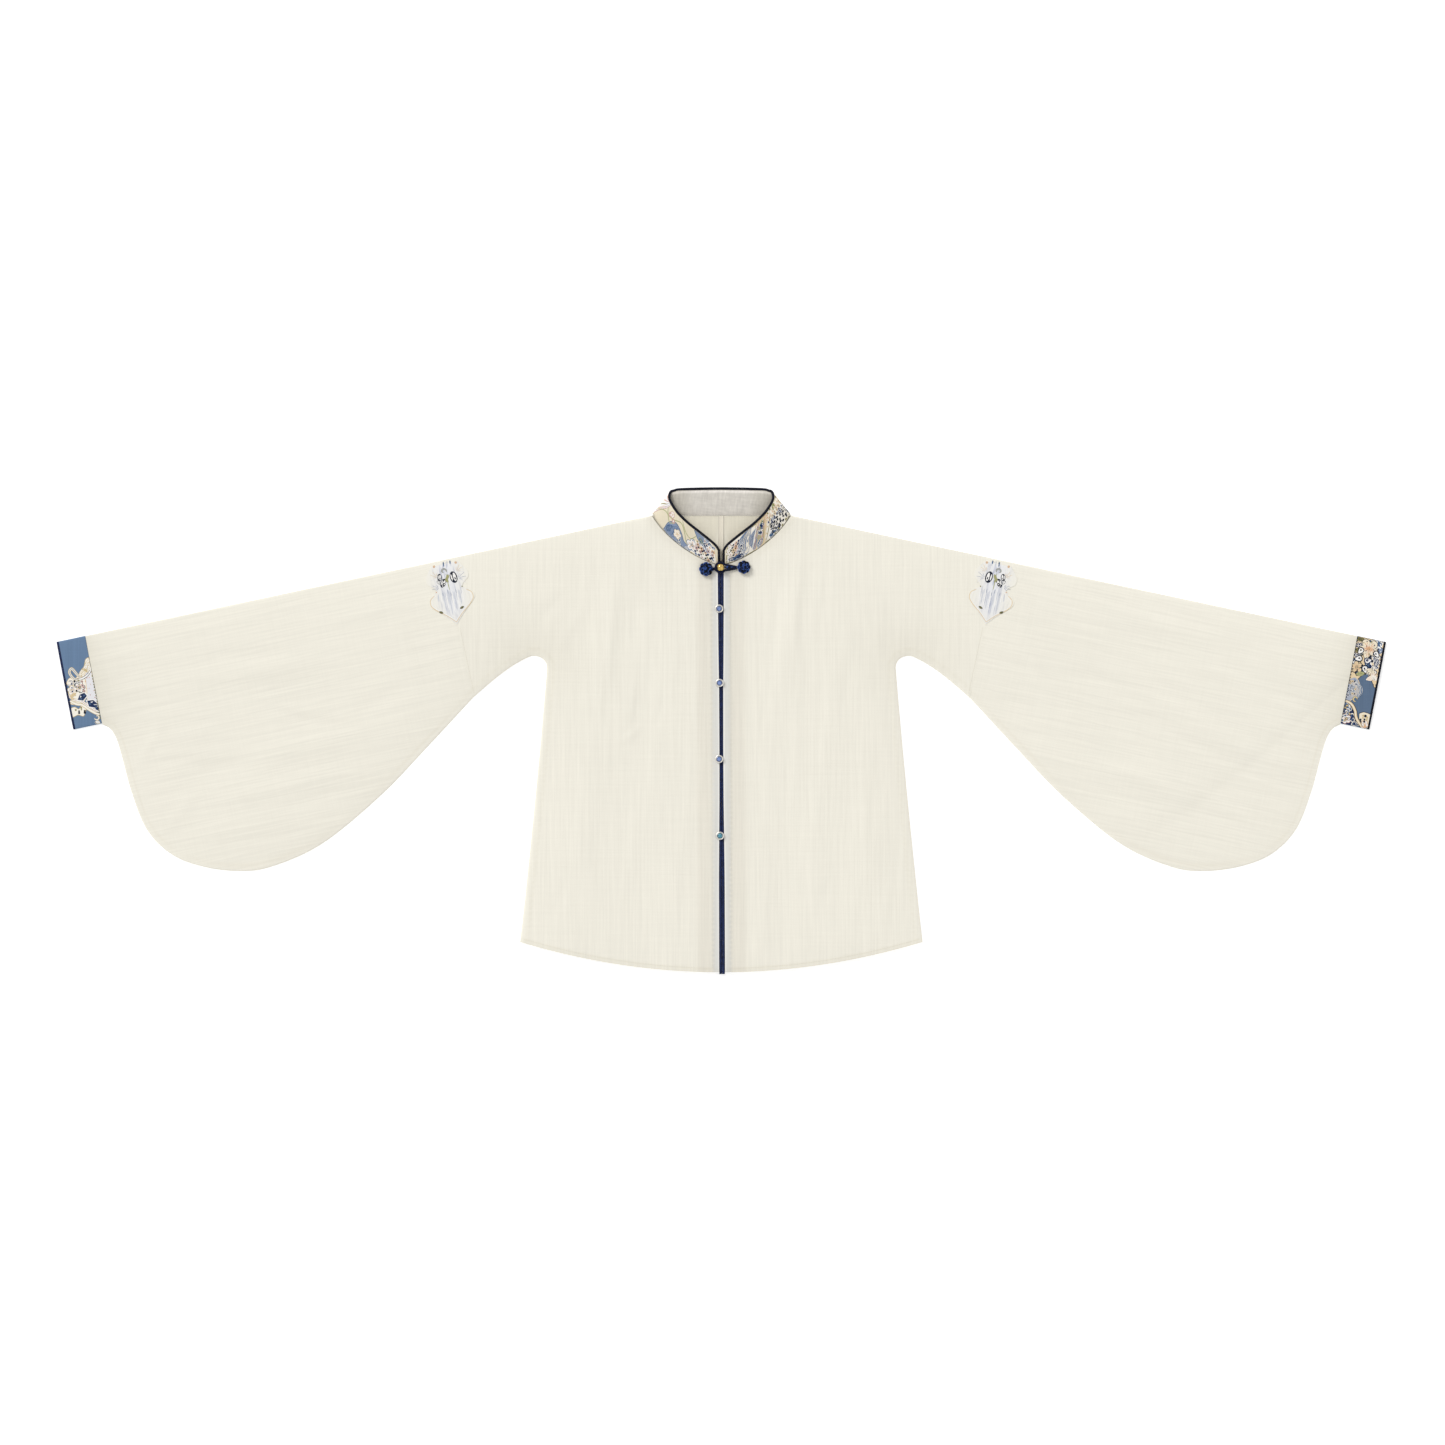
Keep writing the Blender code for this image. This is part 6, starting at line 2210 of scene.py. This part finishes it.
@dataclass
class FrogFastening:
    """Two knots, the gold bead and the cord loop round it."""

    cord: float = 0.00125
    strand_share: float = 0.62
    stem_cord: float = 0.0011
    loop_cord: float = 0.00105
    leads: int = 3
    sides: int = 9

    def build(self) -> None:
        """Make all of the fastening's pieces."""
        for side in Side:
            self.build_knot(side)
        self.build_loop()
        self.build_bead()

    def build_knot(self, side: Side) -> None:
        """Weave one cord knot over a small near-black core, which is painted shade showing in the gaps
        between the cords.
        """
        middle, size = box_middle(f"frog_knot_{side.word}")
        radius, height = size[1] / 2, size[2]
        centre = middle - (0.0, 0.0, height / 2)
        if side is Side.RIGHT:
            centre[0] = middle[0] - size[0] / 2 + radius
        batch = MeshBatch()
        # The near-black core stands for the shade between the cords: painted shade.
        shares = ((0.0, 0.0), (0.78, 0.0), (0.84, 0.25), (0.70, 0.55), (0.40, 0.78), (0.0, 0.84))
        shade_core = [(radius * across, height * up) for across, up in shares]
        batch.add(turned_mesh(centre, shade_core, 28), SHADED_SATIN)
        t = np.linspace(0.0, 2 * math.pi * self.leads, 90 * self.leads, endpoint=False)
        for mean, swing, bights in ((0.66, 0.23, 8), (0.26, 0.17, 5)):
            phase = bights * t / self.leads
            reach = radius * (mean + swing * np.cos(phase))
            dome = height * np.sqrt(np.clip(1.0 - (reach / (1.08 * radius)) ** 2, 0.0, 1.0))
            rise = np.maximum(dome - self.cord + 0.9 * self.cord * np.sin(2 * phase), self.cord)
            path = centre + np.column_stack([reach * np.cos(t), reach * np.sin(t), rise])
            strand = self.strand_share * self.cord
            batch.add(tube_mesh(path, strand, strand, self.sides, closed=True), KNOT_SATIN)
        if side is Side.RIGHT:
            self.add_stem(batch, centre, radius)
        batch.build(f"frog_knot_{side.word}_cord", "cord", f"frog_knot_{side.word}")

    def add_stem(self, batch: MeshBatch, centre: Array, radius: float) -> None:
        """Run the knot's two cord ends to the bead."""
        bead, size = box_middle("frog_bead")
        shares = np.linspace(0.0, 1.0, 12)
        start = centre + (0.8 * radius, 0.0, 0.0014)
        end = np.array((bead[0] - size[0] / 2 + 0.0012, (centre[1] + bead[1]) / 2, centre[2] + 0.0026))
        for shift in (-0.0010, 0.0010):
            path = start + shares[:, None] * (end - start)
            path[:, 1] += shift * (1.0 - 0.45 * shares)
            batch.add(tube_mesh(path, self.stem_cord, self.stem_cord, self.sides), SHADED_SATIN)

    def build_loop(self) -> None:
        """Loop a doubled cord round the bead, fill the gap between its legs with a leaf of cord and draw
        them into the left knot.
        """
        bead, bead_size = box_middle("frog_bead")
        loop, loop_size = box_middle("frog_loop")
        knot, knot_size = box_middle("frog_knot_left")
        low = loop[2] - loop_size[2] / 2
        pinch = np.array((knot[0] - knot_size[0] / 2, loop[1] - 0.0002, low + 0.0014))
        batch = MeshBatch()
        level = bead[2] - 0.0019
        turns = math.pi + math.radians(140) * np.linspace(-1.0, 1.0, 26)
        for grow, drop in ((0.0, 0.0), (0.0013, 0.0011)):
            ring = bead_size[0] / 2 + 0.0010 + grow
            loop_points = np.column_stack(
                [bead[0] + ring * np.cos(turns), bead[1] + ring * np.sin(turns), turns * 0 + level - drop]
            )
            spread = np.array((0.0, 0.0007 + 0.5 * grow, 0.0))
            lower = pinch - (0.0, 0.0, 0.2 * drop)
            path = even_steps(np.vstack([lower + spread, loop_points, lower - spread]), 90)
            batch.add(tube_mesh(path, self.loop_cord, self.loop_cord, self.sides), SHADED_SATIN)
        # A leaf of cord fills the gap between the legs, widest at its middle.
        tip = bead + (0.9 * bead_size[0] / 2 + 0.0012, 0.0, level - bead[2])
        shares = np.linspace(0.0, 1.0, 16)
        path = tip + shares[:, None] * (pinch - tip)
        widths = 0.0006 + 0.0019 * np.sin(math.pi * np.clip(shares * 1.15, 0.0, 1.0)) ** 0.7
        batch.add(tube_mesh(path, widths, 0.0010, self.sides), KNOT_SATIN)
        batch.build("frog_loop_cord", "cord", "frog_loop")

    def build_bead(self) -> None:
        """Turn the gold bead, with a chased ring and rows of grains round its crown."""
        centre, size = box_middle("frog_bead")
        radius = size[2] / 2
        angles = -math.pi / 2 + math.pi * np.arange(1, 32) / 32
        ripples = radius * (1.0 - 0.05 * bell(angles - 0.92, 0.05))
        profile = [(0.0, -radius), *zip(ripples * np.cos(angles), ripples * np.sin(angles)), (0.0, radius)]
        batch = MeshBatch()
        batch.add(turned_mesh(centre, profile, 40), GOLD)
        grain = 0.00042
        ball = [(0.0, -grain), (0.8 * grain, -0.5 * grain), (grain, 0.0), (0.75 * grain, 0.6 * grain)]
        for count, angle in ((18, 0.72), (9, 1.15), (3, 1.42)):
            for turn in 2 * math.pi * np.arange(count) / count:
                flat = math.cos(angle)
                aim = np.array((flat * math.cos(turn), flat * math.sin(turn), math.sin(angle)))
                batch.add(turned_mesh(centre + radius * aim, [*ball, (0.0, grain)], 8), GOLD)
        batch.build("frog_bead_gold", "gold", "frog_bead")


@dataclass
class SnapCaps:
    """Snap caps: rolled metal rims with domed stones."""

    sides: int = 48
    claws: int = 20
    stone_growth: float = 1.25

    def build(self) -> None:
        """Make every cap."""
        for number in range(1, len(STONES) + 1):
            self.build_rim(number)
            self.build_stone(number)

    def build_rim(self, number: int) -> None:
        """Turn one rim with a rolled edge and small claws."""
        middle, size = box_middle(f"snap_ring_{number}")
        reach, tall = size[0] / 2, size[2]
        foot = middle - (0.0, 0.0, tall / 2)
        rows = (
            (0.0, 0.10), (0.90, 0.02), (0.98, 0.16), (1.00, 0.40), (0.97, 0.70), (0.91, 0.90),
            (0.85, 0.97), (0.79, 0.86), (0.76, 0.60), (0.73, 0.35), (0.0, 0.32),
        )
        profile = [(reach * across, tall * up) for across, up in rows]
        batch = MeshBatch()
        batch.add(turned_mesh(foot, profile, self.sides), SILVER)
        claw = [(0, -0.0002), (0.0003, 0.0), (0.0002, 0.0002), (0, 0.00026)]
        for turn in 2 * math.pi * np.arange(self.claws) / self.claws:
            spot = foot + (0.78 * reach * math.cos(turn), 0.78 * reach * math.sin(turn), 0.82 * tall)
            batch.add(turned_mesh(spot, claw, 8), SILVER)
        batch.build(f"snap_rim_{number}", "snap_metal", f"snap_ring_{number}")

    def build_stone(self, number: int) -> None:
        """Turn one domed stone."""
        middle, size = box_middle(f"snap_stone_{number}")
        reach, tall = self.stone_growth * size[0] / 2, size[2]
        foot = middle - (0.0, 0.0, tall / 2)
        angles = math.pi / 2 * np.arange(10) / 10
        dome = zip(reach * np.cos(angles), tall * (0.5 + 0.5 * np.sin(angles)))
        profile = [(0.0, 0.35 * tall), (0.95 * reach, 0.36 * tall), *dome, (0.0, tall)]
        points, faces = turned_mesh(foot, profile, self.sides)
        piece = mesh_piece(f"snap_pearl_{number}", points, faces, [STONES[number - 1]])
        # Tone lighter in the middle and darker towards the edge, the darkening being painted shade of the
        # rim.
        apart = np.hypot(points[:, 0] - foot[0], points[:, 1] - foot[1]) / reach
        paint_tone(piece, 1.15 - 0.85 * np.clip(apart - 0.40, 0.0, 1.0)[:, None] * np.ones(3))
        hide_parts(f"snap_stone_{number}")


@dataclass
class Studio:
    """Pale floor, soft light and the camera straight above."""

    lens: float = 100.0
    sensor: float = 36.0
    target: tuple[float, float] = (0.0017, 0.0112)
    cloth_height: float = 0.004
    floor_half: float = 14.0
    floor_glow: float = 0.40
    surround: float = 0.60

    def build_floor(self) -> None:
        """Lay the pale floor; its glow keeps it white, as on a light table."""
        half = self.floor_half
        mesh = bpy.data.meshes.new("floor")
        corners = [(-half, -half), (half, -half), (half, half), (-half, half)]
        mesh.from_pydata([(x, y, -0.0004) for x, y in corners], [], [[0, 1, 2, 3]])
        paper = Finish("Matt paper backdrop", "#FBFBFB", 0.95).material()
        shader = paper.node_tree.nodes["Principled BSDF"]
        shader.inputs["Specular IOR Level"].default_value = 0.0
        shader.inputs["Emission Color"].default_value = (1.0, 1.0, 1.0, 1.0)
        shader.inputs["Emission Strength"].default_value = self.floor_glow
        mesh.materials.append(paper)
        floor = bpy.data.objects.new("floor", mesh)
        bpy.context.collection.objects.link(floor)

    def build_lights(self) -> None:
        """Hang a broad key light up left, a weak fill down right and an even surround."""
        for name, source, strength, spread in (
            ("key", (-0.58, 0.60, 0.58), 2.0, 24.0),
            ("fill", (0.60, -0.50, 0.90), 0.25, 60.0),
        ):
            lamp = bpy.data.lights.new(name, "SUN")
            lamp.energy = strength
            lamp.angle = math.radians(spread)
            hung = bpy.data.objects.new(name, lamp)
            hung.rotation_euler = (-Vector(source)).to_track_quat("-Z", "Y").to_euler()
            bpy.context.collection.objects.link(hung)
        world = bpy.data.worlds.new("studio surround")
        world.use_nodes = True
        world.node_tree.nodes["Background"].inputs["Color"].default_value = (1.0, 1.0, 1.0, 1.0)
        world.node_tree.nodes["Background"].inputs["Strength"].default_value = self.surround
        bpy.context.scene.world = world

    def build_camera(self) -> None:
        """Set the camera so that a pixel of the photograph is its real size on the garment."""
        across = PHOTO_PIXELS * METRES_PER_PIXEL
        camera = bpy.data.cameras.new("camera")
        camera.lens = self.lens
        camera.sensor_width = self.sensor
        camera.clip_end = 100.0
        seen = bpy.data.objects.new("camera", camera)
        seen.location = (*self.target, across * self.lens / self.sensor + self.cloth_height)
        bpy.context.collection.objects.link(seen)
        bpy.context.scene.camera = seen

    def build(self) -> None:
        """Set up floor, light, camera and the view transform."""
        self.build_floor()
        self.build_lights()
        self.build_camera()
        bpy.context.scene.view_settings.view_transform = "Standard"
        bpy.context.scene.view_settings.look = "None"


def main() -> None:
    """Build the studio and every sub-assembly in order."""
    logging.basicConfig(level=logging.INFO, format="%(name)s: %(message)s")
    for assembly in (Studio(), Body(), Sleeves(), Collar(), ShoulderPatches(), FrogFastening(), SnapCaps()):
        log.info("building %s", type(assembly).__name__)
        assembly.build()


if __name__ == "__main__":
    main()
